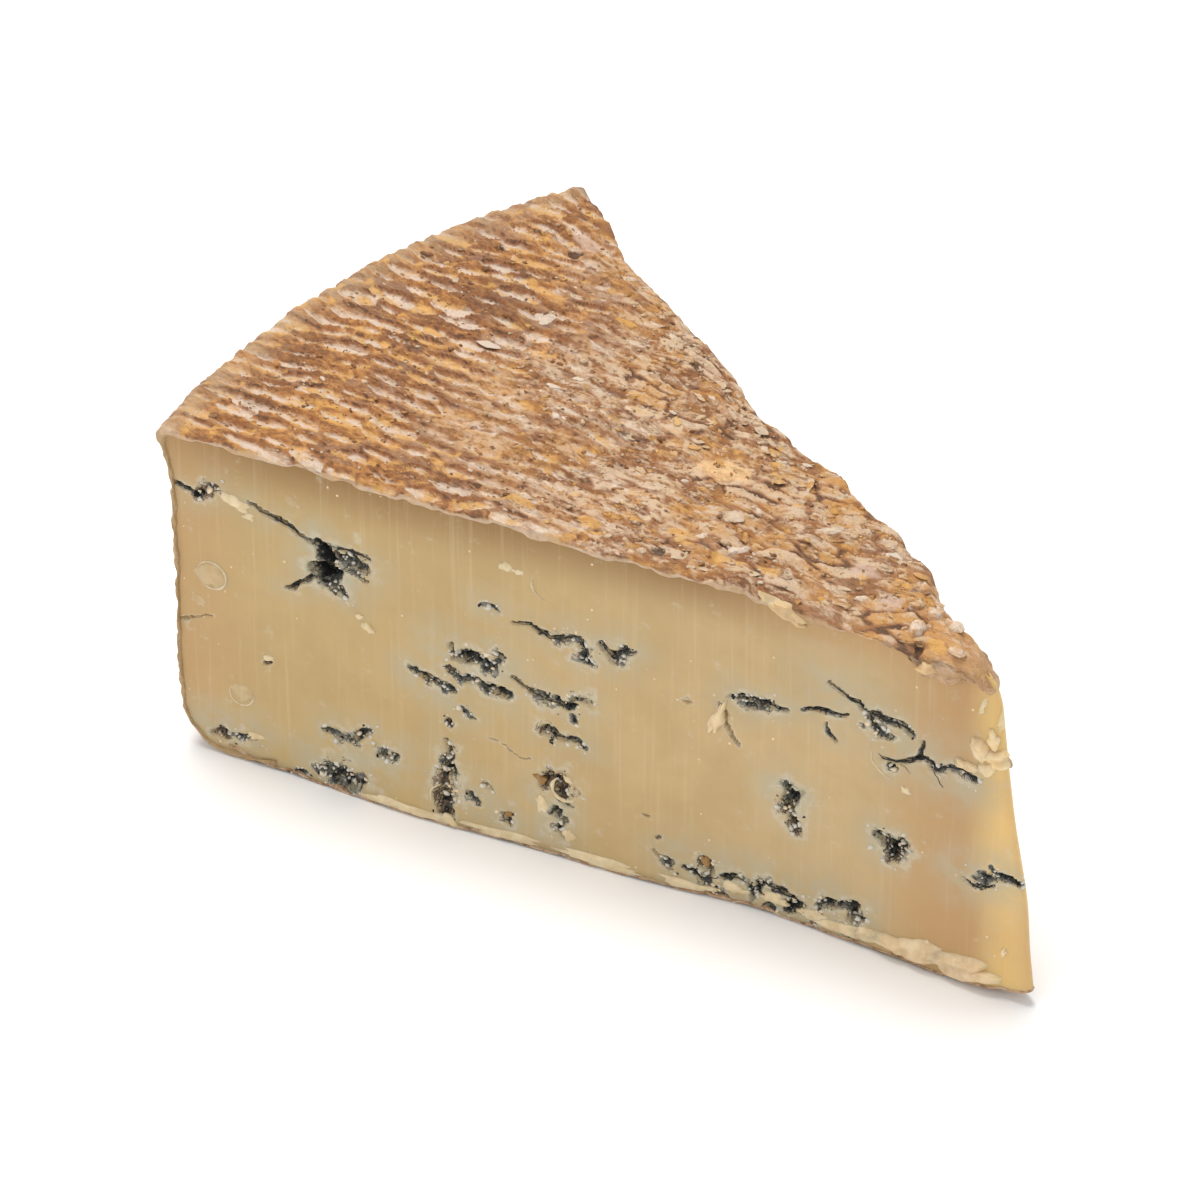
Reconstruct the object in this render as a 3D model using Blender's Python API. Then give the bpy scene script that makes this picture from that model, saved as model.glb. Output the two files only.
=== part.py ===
"""A wedge of blue cheese cut from a natural-rind wheel, as one closed solid.

The wedge points along +X, its rind edge faces -X and its more open cut face looks
towards -Y. It stands on its base at Z = 0, centred on the origin in plan. All sizes
are in metres. The shape starts as a cube cut into a lattice, which functions carry
onto a sector of the wheel, and lumpy cutters then open the mould cavities.
"""

import math

import bmesh
import bpy
import numpy as np
from mathutils import Matrix, Vector

MM = 0.001
TINY = 0.00001

# The wheel and the slice taken from it.
WHEEL_RADIUS = 0.150
WHEEL_HEIGHT = 0.064
SLICE_ANGLE = math.radians(38.2)
HALF_ANGLE = SLICE_ANGLE / 2

# The rim: a soft shoulder that overhangs the side a little, and a much rounder foot.
SHOULDER_RADIUS = 0.0026
FOOT_RADIUS = 0.0095
RIM_INSET = 0.0023
RIM_INSET_DEPTH = 0.013

# The tip: a blunt nose that leans outwards on its way down, under a drooping crust.
NOSE_RADIUS_TOP = 0.0024
NOSE_RADIUS_BASE = 0.0012
TIP_FORWARD = 0.0035
TIP_LEAN = 0.0036
TIP_REACH = 0.034
TIP_DROOP = 0.0030
DROOP_REACH = 0.0045
TIP_LIFT = 0.0016
LIFT_REACH = 0.009

# The crust over the cut faces: its thickness and how far it stands proud of the paste.
CRUST_THICKNESS = 0.0018
CRUST_PROUD = 0.0004
TIP_CRUST_THICKNESS = 0.0070
TIP_CRUST_PROUD = 0.0022
TIP_CRUST_REACH = 0.022

# Lattice divisions: across each of the four sides, and up the height.
SIDE_STEPS = 30
HEIGHT_STEPS = 13
TIP_CROWDING = 1.15

# Unevenness of the rind and of the knife's cut: cell of the noise and its height.
RIND_LUMPS = ((0.016, 0.0008, 11), (0.0065, 0.0006, 12))
RIM_LUMPS = ((0.020, 0.0007, 21), (0.009, 0.0004, 22))
CUT_WAVES = ((0.030, 0.0004, 31),)
RELIEF_DEPTH = 0.006
CUT_SKIN = 0.012

# Bulges and dents: (distance from the wheel's axis, half width, outward height).
# The far cut is hollow and leans in at the top, and its crust is broken at the edge.
FAR_CUT_HOLLOW = ((0.085, 0.075, -0.0040),)
FAR_EDGE_DENTS = (
    (0.126, 0.009, -0.0024),
    (0.104, 0.010, -0.0013),
    (0.080, 0.006, -0.0015),
    (0.060, 0.006, 0.0020),
    (0.040, 0.006, 0.0016),
    (0.016, 0.014, -0.0032),
)
FAR_EDGE_DEPTH = 0.010
NEAR_FOOT_BULGES = ((0.104, 0.020, 0.0014), (0.045, 0.013, -0.0014))
NEAR_FOOT_HEIGHT = 0.018

# Mould cavities in a cut face, in millimetres and degrees:
# distance from the tip, height, half length, half height, depth, slope of the length.
NEAR_CAVITIES = (
    (127.5, 51.0, 7.0, 0.9, 3.5, 22),
    (119.4, 47.6, 2.4, 1.7, 4.0, 40),
    (120.0, 43.1, 3.0, 1.7, 6.0, 0),
    (125.4, 39.2, 3.4, 0.8, 3.0, -28),
    (114.1, 49.1, 3.2, 0.8, 2.5, -4),
    (145.0, 52.9, 5.0, 0.9, 3.0, 8),
    (96.0, 31.4, 2.8, 1.5, 3.0, 20),
    (92.2, 35.4, 3.6, 1.0, 2.5, 10),
    (80.6, 44.2, 4.2, 0.8, 2.0, 6),
    (71.0, 44.0, 4.0, 1.3, 2.5, -8),
    (76.6, 31.2, 3.4, 1.4, 2.8, 6),
    (98.8, 8.4, 1.8, 8.2, 2.4, 0),
    (79.2, 10.2, 2.2, 6.0, 3.2, 4),
    (49.0, 37.2, 0.8, 4.4, 2.5, 16),
    (45.6, 43.0, 3.8, 1.3, 2.6, 6),
    (24.5, 48.3, 8.2, 0.9, 2.2, 22),
    (18.9, 40.3, 4.4, 1.1, 2.2, 0),
    (38.2, 24.6, 2.2, 5.4, 4.0, 8),
    (20.6, 22.8, 2.8, 2.8, 4.0, 0),
    (49.3, 5.0, 3.0, 1.3, 3.0, 4),
    (38.6, 5.4, 3.2, 1.4, 3.0, 0),
    (28.6, 5.8, 3.6, 1.7, 3.5, 6),
    (109.0, 10.3, 2.4, 1.2, 2.4, -10),
    (117.2, 3.8, 3.6, 1.8, 2.6, 10),
)
FAR_CAVITIES = (
    (116.0, 38.0, 6.0, 1.3, 3.2, -18),
    (108.0, 32.0, 3.0, 2.2, 4.5, 10),
    (88.0, 24.0, 4.2, 1.4, 3.0, 14),
    (92.0, 9.0, 1.8, 7.6, 2.6, 0),
    (44.0, 30.0, 3.0, 2.6, 4.0, 0),
    (26.0, 44.0, 5.0, 1.0, 2.2, -16),
)
CAVITY_CELL = 0.0024
CAVITY_LUMPS = 0.30

# Corners of the lattice in plan: the near and the far end of the rind edge.
NEAR_DIRECTION = np.array([-math.cos(HALF_ANGLE), -math.sin(HALF_ANGLE)])
FAR_DIRECTION = np.array([-math.cos(HALF_ANGLE), math.sin(HALF_ANGLE)])
NEAR_OUTWARD = np.array([math.sin(HALF_ANGLE), -math.cos(HALF_ANGLE)])
FAR_OUTWARD = np.array([math.sin(HALF_ANGLE), math.cos(HALF_ANGLE)])


def smooth_step(value, start, end):
    """Rises from 0 at start to 1 at end along the cubic 3t^2 - 2t^3."""
    part = np.clip((value - start) / (end - start), 0.0, 1.0)
    return part * part * (3.0 - 2.0 * part)


def corner_value(corner, seed):
    """A fixed number from -1 to 1 for each whole-number corner, from a folded sine."""
    phase = corner @ np.array([127.1, 311.7, 74.7]) + seed * 53.3
    wave = np.sin(phase) * 43758.5453
    return 2.0 * (wave - np.floor(wave)) - 1.0


def lumps(points, layers):
    """Sum of layers of value noise, each eased between random corners of a cubic grid."""
    total = np.zeros(len(points))
    for cell, height, seed in layers:
        scaled = points / cell
        corner = np.floor(scaled)
        part = smooth_step(scaled - corner, 0.0, 1.0)
        for step in np.ndindex(2, 2, 2):
            weight = np.prod(np.where(step, part, 1.0 - part), axis=1)
            total += height * weight * corner_value(corner + step, seed)
    return total


def rim_point(angle):
    """Point of the wheel's rim at an angle from the wedge's middle line."""
    return np.stack([-WHEEL_RADIUS * np.cos(angle), WHEEL_RADIUS * np.sin(angle)], axis=1)


def sector_plan(u, v):
    """Coons patch over the sector: u runs out along the near cut, v along the far cut.

    The four corners are the tip, the two ends of the rind edge and its middle, so the
    two sides opposite the cuts are the two halves of the rim.
    """
    u = u[:, None]
    v = v[:, None]
    near_cut = u * WHEEL_RADIUS * NEAR_DIRECTION
    far_cut = v * WHEEL_RADIUS * FAR_DIRECTION
    far_rim = rim_point(HALF_ANGLE * (1.0 - u[:, 0]))
    near_rim = rim_point(-HALF_ANGLE * (1.0 - v[:, 0]))
    middle = np.array([-WHEEL_RADIUS, 0.0])
    blended = (1.0 - v) * near_cut + v * far_rim + (1.0 - u) * far_cut + u * near_rim
    corners = u * (1.0 - v) * WHEEL_RADIUS * NEAR_DIRECTION
    corners = corners + (1.0 - u) * v * WHEEL_RADIUS * FAR_DIRECTION + u * v * middle
    return blended - corners


def round_rim(plan, height):
    """Rounds the shoulder and the foot: what lies outside the arc is drawn onto it."""
    radius = np.hypot(plan[:, 0], plan[:, 1])
    edge = np.where(height > WHEEL_HEIGHT / 2, SHOULDER_RADIUS, FOOT_RADIUS)
    inner_radius = np.minimum(radius, WHEEL_RADIUS - edge)
    inner_height = np.clip(height, edge, WHEEL_HEIGHT - edge)
    reach = np.hypot(radius - inner_radius, height - inner_height)
    draw = edge / np.maximum(reach, edge)
    new_radius = inner_radius + (radius - inner_radius) * draw
    new_height = inner_height + (height - inner_height) * draw
    inset = RIM_INSET * smooth_step(WHEEL_HEIGHT - height, 0.0, RIM_INSET_DEPTH)
    inset = inset * smooth_step(radius, 0.0, WHEEL_RADIUS)
    scale = (new_radius - inset) / np.maximum(radius, TINY)
    return plan * scale[:, None], new_height


def blunt_nose(plan, height):
    """Rounds the tip in plan: points beyond an inscribed circle are drawn onto it."""
    share = height / WHEEL_HEIGHT
    nose = NOSE_RADIUS_BASE + (NOSE_RADIUS_TOP - NOSE_RADIUS_BASE) * share
    apex = np.stack([-nose / math.sin(HALF_ANGLE), np.zeros(len(nose))], axis=1)
    offset = plan - apex
    reach = np.hypot(offset[:, 0], offset[:, 1])
    beyond = offset[:, 0] > np.abs(offset[:, 1]) * math.tan(HALF_ANGLE)
    draw = np.where(beyond, np.minimum(nose / np.maximum(reach, TINY), 1.0), 1.0)
    return apex + offset * draw[:, None]


def lean_tip(plan, height):
    """Carries the tip forward at the base and back at the top, fading along the wedge."""
    fade = 1.0 - smooth_step(np.hypot(plan[:, 0], plan[:, 1]), 0.0, TIP_REACH)
    forward = (TIP_FORWARD + TIP_LEAN * (1.0 - 2.0 * height / WHEEL_HEIGHT)) * fade
    return plan + np.stack([forward, np.zeros(len(forward))], axis=1)


def bells(along, rows):
    """Sum of Gaussian bells, one for each (centre, half width, height)."""
    total = np.zeros(len(along))
    for centre, width, height in rows:
        total += height * np.exp(-(((along - centre) / width) ** 2))
    return total


def crust_lip(along, depth):
    """How far the crust stands proud of a cut, by distance from the tip and depth."""
    near_tip = 1.0 - smooth_step(along, TIP_CRUST_REACH / 3, 1.3 * TIP_CRUST_REACH)
    thickness = CRUST_THICKNESS + (TIP_CRUST_THICKNESS - CRUST_THICKNESS) * near_tip
    proud = CRUST_PROUD + (TIP_CRUST_PROUD - CRUST_PROUD) * near_tip
    return proud * (1.0 - smooth_step(depth, 0.75 * thickness, 1.1 * thickness))


def cut_shares(plan):
    """The part of each cut's unevenness that a point takes: all on it, none deep inside."""
    near = np.maximum(-plan @ NEAR_OUTWARD, TINY)
    far = np.maximum(-plan @ FAR_OUTWARD, TINY)
    near_share = (1.0 - smooth_step(near, 0.0, CUT_SKIN)) * far / (near + far)
    far_share = (1.0 - smooth_step(far, 0.0, CUT_SKIN)) * near / (near + far)
    return near_share, far_share


def wedge_surface(cube):
    """Carries points of the unit cube's surface onto the wedge of cheese."""
    u = cube[:, 0] ** TIP_CROWDING
    v = cube[:, 1] ** TIP_CROWDING
    height = WHEEL_HEIGHT * (1.0 - np.cos(math.pi * cube[:, 2])) / 2
    plan, height = round_rim(sector_plan(u, v), height)
    along = np.hypot(plan[:, 0], plan[:, 1])
    plan = blunt_nose(plan, height)
    near_share, far_share = cut_shares(plan)
    plan = lean_tip(plan, height)

    depth = WHEEL_HEIGHT - height
    points = np.column_stack([plan, height])
    lip = crust_lip(along, depth)
    waves = lumps(points, CUT_WAVES)
    foot = bells(along, NEAR_FOOT_BULGES) * (1.0 - smooth_step(height, 0.0, NEAR_FOOT_HEIGHT))
    dents = bells(along, FAR_EDGE_DENTS) * (1.0 - smooth_step(depth, 0.0, FAR_EDGE_DEPTH))
    dents = dents + bells(along, FAR_CUT_HOLLOW) * height / WHEEL_HEIGHT
    near_shift = near_share * (lip + waves + foot)
    far_shift = far_share * (lip + waves + dents)
    plan = plan + near_shift[:, None] * NEAR_OUTWARD + far_shift[:, None] * FAR_OUTWARD

    rim = smooth_step(along, WHEEL_RADIUS - 2 * SHOULDER_RADIUS, WHEEL_RADIUS - RIM_INSET)
    outward = plan / np.maximum(along, TINY)[:, None]
    plan = plan + (rim * lumps(points, RIM_LUMPS))[:, None] * outward
    top = 1.0 - smooth_step(depth, 0.0, RELIEF_DEPTH)
    droop = TIP_DROOP * np.exp(-((along / DROOP_REACH) ** 2))
    base = 1.0 - smooth_step(height, 0.0, WHEEL_HEIGHT / 4)
    lift = TIP_LIFT * np.exp(-((along / LIFT_REACH) ** 2))
    height = height + top * (lumps(points, RIND_LUMPS) - droop) + base * lift
    return np.column_stack([plan, height])


def lattice_cube():
    """A unit cube with a grid on every face, from one corner at the origin."""
    bm = bmesh.new()
    bmesh.ops.create_cube(bm, size=1.0)
    bmesh.ops.translate(bm, verts=bm.verts, vec=Vector((0.5, 0.5, 0.5)))
    upright = [edge for edge in bm.edges if is_upright(edge)]
    bmesh.ops.subdivide_edges(bm, edges=upright, cuts=HEIGHT_STEPS - 1, use_grid_fill=True)
    level = [edge for edge in bm.edges if not is_upright(edge)]
    bmesh.ops.subdivide_edges(bm, edges=level, cuts=SIDE_STEPS - 1, use_grid_fill=True)
    return bm


def is_upright(edge):
    """True for an edge that runs up the height."""
    return abs(edge.verts[0].co.z - edge.verts[1].co.z) > TINY


def flatten_base(bm):
    """Merges the flat faces of the base into one, which is what the wedge rests on."""
    base = [face for face in bm.faces if all(vert.co.z < TINY for vert in face.verts)]
    bmesh.ops.dissolve_faces(bm, faces=base, use_verts=False)


def centre_shift(points):
    """The move in plan that centres the solid's box on the origin."""
    middle = (points.min(axis=0) + points.max(axis=0)) / 2
    return np.array([-middle[0], -middle[1], 0.0])


def body_mesh():
    """The wedge before its cavities, and the shift that centred it."""
    bm = lattice_cube()
    bm.verts.ensure_lookup_table()
    cube = np.array([vert.co[:] for vert in bm.verts])
    cube = np.clip(np.round(cube, 6), 0.0, 1.0)
    points = wedge_surface(cube)
    shift = centre_shift(points)
    for vert, point in zip(bm.verts, points + shift):
        vert.co = point
    flatten_base(bm)
    bmesh.ops.triangulate(bm, faces=bm.faces)
    bmesh.ops.recalc_face_normals(bm, faces=bm.faces)
    mesh = bpy.data.meshes.new("cheese_wedge")
    bm.to_mesh(mesh)
    bm.free()
    return mesh, shift


def cavity_mesh(name, half_sizes, seed):
    """A lumpy ellipsoid with the given half sizes, uneven like a pocket of mould."""
    bm = bmesh.new()
    bmesh.ops.create_icosphere(bm, subdivisions=2, radius=1.0)
    points = np.array([vert.co[:] for vert in bm.verts])
    swell = 1.0 + lumps(points * half_sizes, ((CAVITY_CELL, CAVITY_LUMPS, seed),))
    for vert, point in zip(bm.verts, points * half_sizes * swell[:, None]):
        vert.co = point
    mesh = bpy.data.meshes.new(name)
    bm.to_mesh(mesh)
    bm.free()
    return mesh


def add_cavities(collection, face_name, direction, outward, rows, shift):
    """One cutter for each cavity, centred on the cut face and turned along its slope."""
    for index, (along, height, length, rise, depth, slope) in enumerate(rows):
        name = f"{face_name}_cavity_{index + 1}"
        half_sizes = np.array([length, depth, rise]) * MM
        cutter = bpy.data.objects.new(name, cavity_mesh(name, half_sizes, 100 + index))
        plan = direction * along * MM + shift[:2]
        turn = Matrix.Rotation(math.atan2(outward[0], -outward[1]), 4, "Z")
        tilt = Matrix.Rotation(math.radians(slope), 4, "Y")
        cutter.matrix_world = Matrix.Translation((plan[0], plan[1], height * MM)) @ turn @ tilt
        cutter.hide_render = True
        cutter.display_type = "WIRE"
        collection.objects.link(cutter)


def cheese_material():
    """Cream-tan paste, slightly waxy."""
    material = bpy.data.materials.new("blue_cheese")
    material.use_nodes = True
    shader = material.node_tree.nodes["Principled BSDF"]
    shader.inputs["Base Color"].default_value = (0.66, 0.50, 0.29, 1.0)
    shader.inputs["Roughness"].default_value = 0.55
    shader.inputs["Metallic"].default_value = 0.0
    return material


def clear_scene():
    """Removes whatever the scene holds."""
    for obj in list(bpy.data.objects):
        bpy.data.objects.remove(obj)


def new_collection(name):
    """A collection linked into the scene."""
    collection = bpy.data.collections.new(name)
    bpy.context.scene.collection.children.link(collection)
    return collection


def main():
    """Builds the wedge and its cutters."""
    clear_scene()
    parts = new_collection("blue_cheese_wedge")
    cutters = new_collection("cavity_cutters")

    mesh, shift = body_mesh()
    wedge = bpy.data.objects.new("cheese_wedge", mesh)
    parts.objects.link(wedge)
    mesh.materials.append(cheese_material())
    mesh.shade_smooth()
    mesh.set_sharp_from_angle(angle=math.radians(40))

    add_cavities(cutters, "near", NEAR_DIRECTION, NEAR_OUTWARD, NEAR_CAVITIES, shift)
    add_cavities(cutters, "far", FAR_DIRECTION, FAR_OUTWARD, FAR_CAVITIES, shift)
    cut = wedge.modifiers.new("cavities", "BOOLEAN")
    cut.operation = "DIFFERENCE"
    cut.operand_type = "COLLECTION"
    cut.collection = cutters
    cut.solver = "EXACT"


if __name__ == "__main__":
    main()
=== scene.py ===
"""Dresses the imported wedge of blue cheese: paste, veins of mould and a natural crust.

Everything is worked out in the wheel's own frame, whose origin is the wheel's axis at
the wedge's tip: -X runs back along the wedge's middle line and Z is up. `to_part` then
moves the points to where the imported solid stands. Lengths are in metres, except in the
tables of strokes, threads, patches, stains and chips, which give millimetres.
"""

import math

import bmesh
import bpy
import numpy as np
from bpy.props import FloatProperty, FloatVectorProperty, IntProperty, PointerProperty
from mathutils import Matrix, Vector


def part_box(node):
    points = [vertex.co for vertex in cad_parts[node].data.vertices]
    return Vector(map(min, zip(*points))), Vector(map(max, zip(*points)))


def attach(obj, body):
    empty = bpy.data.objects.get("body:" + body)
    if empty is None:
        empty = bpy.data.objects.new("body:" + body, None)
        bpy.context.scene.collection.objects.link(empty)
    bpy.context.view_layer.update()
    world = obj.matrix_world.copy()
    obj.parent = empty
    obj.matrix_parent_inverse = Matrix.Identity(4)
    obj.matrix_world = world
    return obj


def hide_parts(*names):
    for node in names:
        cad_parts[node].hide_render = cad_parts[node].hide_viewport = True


bl_info = {
    "name": "Blue Cheese Wedge",
    "version": (1, 0, 0),
    "blender": (4, 5, 0),
    "location": "3D View > Sidebar > Cheese",
    "description": "Paste, mould and natural crust for a wedge cut from a wheel",
    "category": "Object",
}

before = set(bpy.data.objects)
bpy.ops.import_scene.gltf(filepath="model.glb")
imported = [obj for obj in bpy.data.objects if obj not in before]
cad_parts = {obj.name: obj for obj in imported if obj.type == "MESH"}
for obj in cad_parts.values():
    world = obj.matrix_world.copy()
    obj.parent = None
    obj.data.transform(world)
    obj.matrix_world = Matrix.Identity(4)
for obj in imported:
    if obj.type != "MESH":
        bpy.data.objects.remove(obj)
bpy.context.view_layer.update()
LOW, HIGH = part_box("cheese_wedge")

MM = 0.001
TINY = 0.00001

# The wheel and the slice, as in the solid.
WHEEL_RADIUS = 0.150
WHEEL_HEIGHT = 0.064
SLICE_ANGLE = math.radians(38.2)
HALF_ANGLE = SLICE_ANGLE / 2
SHOULDER_RADIUS = 0.0026
FOOT_RADIUS = 0.0095
RIM_INSET = 0.0023
RIM_INSET_DEPTH = 0.013

# How far the solid's box reaches beyond the wheel's axis, forwards and sideways.
TIP_BEYOND_AXIS = 0.0045115
CORNER_BESIDE_AXIS = 0.0491133
AXIS = np.array([HIGH.x - TIP_BEYOND_AXIS, LOW.y + CORNER_BESIDE_AXIS, 0.0])

# The tip.
NOSE_RADIUS_TOP = 0.0024
NOSE_RADIUS_BASE = 0.0012
TIP_FORWARD = 0.0035
TIP_LEAN = 0.0036
TIP_REACH = 0.034
TIP_DROOP = 0.0030
DROOP_REACH = 0.0028
TIP_LIFT = 0.0026
LIFT_REACH = 0.009
TIP_BULGE = 0.0011
TIP_BULGE_HEIGHT = 0.020
TIP_BULGE_REACH = 0.011
NOSE_SWEEP = math.pi / 2 - HALF_ANGLE
NOSE_FRONT = NOSE_RADIUS_TOP * (1 / math.sin(HALF_ANGLE) - 1)

# The crust's lip over the cut faces.
CRUST_THICKNESS = 0.0018
CRUST_PROUD = 0.0004
TIP_CRUST_THICKNESS = 0.0070
TIP_CRUST_PROUD = 0.0022
TIP_CRUST_REACH = 0.022
PROUD_FROM = 0.013

# Unevenness shared with the solid: cell, height and seed of each layer.
RIND_LUMPS = ((0.016, 0.0008, 11), (0.0065, 0.0006, 12))
RIM_LUMPS = ((0.020, 0.0007, 21), (0.009, 0.0004, 22))
CUT_WAVES = ((0.030, 0.0004, 31),)
RELIEF_DEPTH = 0.006
CUT_SKIN = 0.012
FAR_CUT_HOLLOW = ((0.085, 0.075, -0.0040),)
FAR_EDGE_DENTS = (
    (0.126, 0.009, -0.0024),
    (0.104, 0.010, -0.0013),
    (0.080, 0.006, -0.0015),
    (0.060, 0.006, 0.0020),
    (0.040, 0.006, 0.0016),
    (0.016, 0.014, -0.0032),
    (0.028, 0.006, 0.0022),
    (0.064, 0.005, -0.0020),
    (0.074, 0.005, -0.0013),
    (0.116, 0.006, -0.0011),
)
FAR_EDGE_DEPTH = 0.010
NEAR_FOOT_BULGES = ((0.104, 0.020, 0.0014), (0.045, 0.013, -0.0014))
NEAR_FOOT_HEIGHT = 0.018

# By side, -1 for the near cut and 1 for the far one: unit vectors out along the cut from
# the axis, and out of the wedge.
SIDES = (-1, 1)
COS, SIN = math.cos(HALF_ANGLE), math.sin(HALF_ANGLE)
DIRECTION = {side: np.array([-COS, side * SIN]) for side in SIDES}
OUTWARD = {side: np.array([SIN, side * COS]) for side in SIDES}


# ---------------------------------------------------------------- noise and shaping


def smooth_step(value, start, end):
    """Rises from 0 at start to 1 at end along the cubic 3t^2 - 2t^3."""
    part = np.clip((value - start) / (end - start), 0.0, 1.0)
    return part * part * (3.0 - 2.0 * part)


def fall(value, start, end):
    """Falls from 1 at start to 0 at end along the same cubic."""
    return 1.0 - smooth_step(value, start, end)


def bell(value, centre, width):
    """A Gaussian bell: exp(-((value - centre) / width)^2)."""
    return np.exp(-(((value - centre) / width) ** 2))


def from_axis(points):
    """Distance from the wheel's axis in plan."""
    return np.hypot(points[:, 0], points[:, 1])


def corner_value(corner, seed):
    """A fixed number from -1 to 1 for each whole-number corner, from a folded sine."""
    phase = corner @ np.array([127.1, 311.7, 74.7]) + seed * 53.3
    wave = np.sin(phase) * 43758.5453
    return 2.0 * (wave - np.floor(wave)) - 1.0


def lumps(points, layers):
    """Sum of layers of value noise, each eased between random corners of a cubic grid."""
    total = np.zeros(len(points))
    for cell, height, seed in layers:
        scaled = points / cell
        corner = np.floor(scaled)
        part = smooth_step(scaled - corner, 0.0, 1.0)
        for step in np.ndindex(2, 2, 2):
            weight = np.prod(np.where(step, part, 1.0 - part), axis=1)
            total += height * weight * corner_value(corner + step, seed)
    return total


def flat_lumps(u, v, layers):
    """The same noise over two coordinates of a face."""
    return lumps(np.column_stack([u, v, np.zeros(len(u))]), layers)


def cell_value(column, row, seed):
    """The fixed random number of a cell of a plane."""
    return corner_value(np.column_stack([column, row, np.zeros(len(row))]), seed)


def cells(p, q, disorder, seed):
    """Jittered brick cells of unit size: distance to the nearest and second nearest seed
    point, the offset from the nearest one, and three random numbers of its cell."""
    nearest = np.full(len(p), 9.0)
    second = np.full(len(p), 9.0)
    own = np.zeros((len(p), 4))
    base_row = np.floor(q)
    for step_row in (-1, 0, 1):
        row = base_row + step_row
        brick = 0.5 * np.mod(row, 2.0) + 0.25 * cell_value(row, row * 0, seed)
        base_column = np.floor(p - brick)
        for step_column in (-1, 0, 1):
            column = base_column + step_column
            seed_p = column + 0.5 + brick + 0.5 * disorder * cell_value(column, row, seed + 1)
            seed_q = row + 0.5 + 0.5 * disorder * cell_value(column, row, seed + 2)
            away_p = p - seed_p
            away_q = q - seed_q
            away = np.hypot(away_p, away_q)
            closer = away < nearest
            second = np.where(closer, nearest, np.minimum(second, away))
            nearest = np.where(closer, away, nearest)
            fresh = np.column_stack([away_p, away_q, column, row])
            own = np.where(closer[:, None], fresh, own)
    randoms = [0.5 + 0.5 * cell_value(own[:, 2], own[:, 3], seed + k) for k in (3, 4, 5)]
    return nearest, second, own[:, 0], own[:, 1], np.column_stack(randoms)


def bells(along, rows):
    """Sum of Gaussian bells, one for each (centre, half width, height)."""
    total = np.zeros(len(along))
    for centre, width, height in rows:
        total += height * bell(along, centre, width)
    return total


# ---------------------------------------------------------------- the wedge's form


def nose_radius(height):
    """The nose's radius in plan, which grows evenly up the height."""
    share = height / WHEEL_HEIGHT
    return NOSE_RADIUS_BASE + (NOSE_RADIUS_TOP - NOSE_RADIUS_BASE) * share


def rim_profile(length):
    """Radius, height and outward normal of the rim by length from the shoulder's start.

    Down the quarter circle of the shoulder, straight down the side, round the quarter
    circle of the foot, then inwards under the base.
    """
    shoulder = SHOULDER_RADIUS * math.pi / 2
    side = WHEEL_HEIGHT - SHOULDER_RADIUS - FOOT_RADIUS
    foot = FOOT_RADIUS * math.pi / 2
    turn = np.clip(length / SHOULDER_RADIUS, 0.0, math.pi / 2)
    turn_foot = np.clip((length - shoulder - side) / FOOT_RADIUS, 0.0, math.pi / 2)
    down = np.clip(length - shoulder, 0.0, side)
    under = np.maximum(length - shoulder - side - foot, 0.0)
    on_shoulder = length < shoulder
    radius = WHEEL_RADIUS - SHOULDER_RADIUS * (1.0 - np.sin(turn))
    radius = radius - FOOT_RADIUS * (1.0 - np.cos(turn_foot)) - under
    height = WHEEL_HEIGHT - SHOULDER_RADIUS * (1.0 - np.cos(turn)) - down
    height = height - FOOT_RADIUS * np.sin(turn_foot)
    normal_out = np.where(on_shoulder, np.sin(turn), np.cos(turn_foot))
    normal_up = np.where(on_shoulder, np.cos(turn), -np.sin(turn_foot))
    return radius, height, normal_out, normal_up


RIM_LENGTH = (
    SHOULDER_RADIUS * math.pi / 2
    + WHEEL_HEIGHT
    - SHOULDER_RADIUS
    - FOOT_RADIUS
    + FOOT_RADIUS * math.pi / 2
)


def rim_radius(height):
    """The rim's radius by height, before its inset."""
    top = np.clip(height - (WHEEL_HEIGHT - SHOULDER_RADIUS), 0.0, SHOULDER_RADIUS)
    foot = np.clip(FOOT_RADIUS - height, 0.0, FOOT_RADIUS)
    radius = WHEEL_RADIUS - SHOULDER_RADIUS + np.sqrt(SHOULDER_RADIUS**2 - top**2)
    return radius - FOOT_RADIUS + np.sqrt(FOOT_RADIUS**2 - foot**2)


def cut_shares(plan):
    """The part of each cut's unevenness that a point takes: all on it, none deep inside."""
    near, far = (np.maximum(-plan @ OUTWARD[side], TINY) for side in SIDES)
    near_share = fall(near, 0.0, CUT_SKIN) * far / (near + far)
    far_share = fall(far, 0.0, CUT_SKIN) * near / (near + far)
    return near_share, far_share


def lip_thickness(along):
    """The crust's thickness on a cut face, thicker near the tip, and how proud it is."""
    near_tip = fall(along, TIP_CRUST_REACH / 3, 1.3 * TIP_CRUST_REACH)
    thickness = CRUST_THICKNESS + (TIP_CRUST_THICKNESS - CRUST_THICKNESS) * near_tip
    proud = CRUST_PROUD + (TIP_CRUST_PROUD - CRUST_PROUD) * near_tip
    return thickness, proud * (0.4 + 0.6 * smooth_step(along, NOSE_FRONT, PROUD_FROM))


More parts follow.
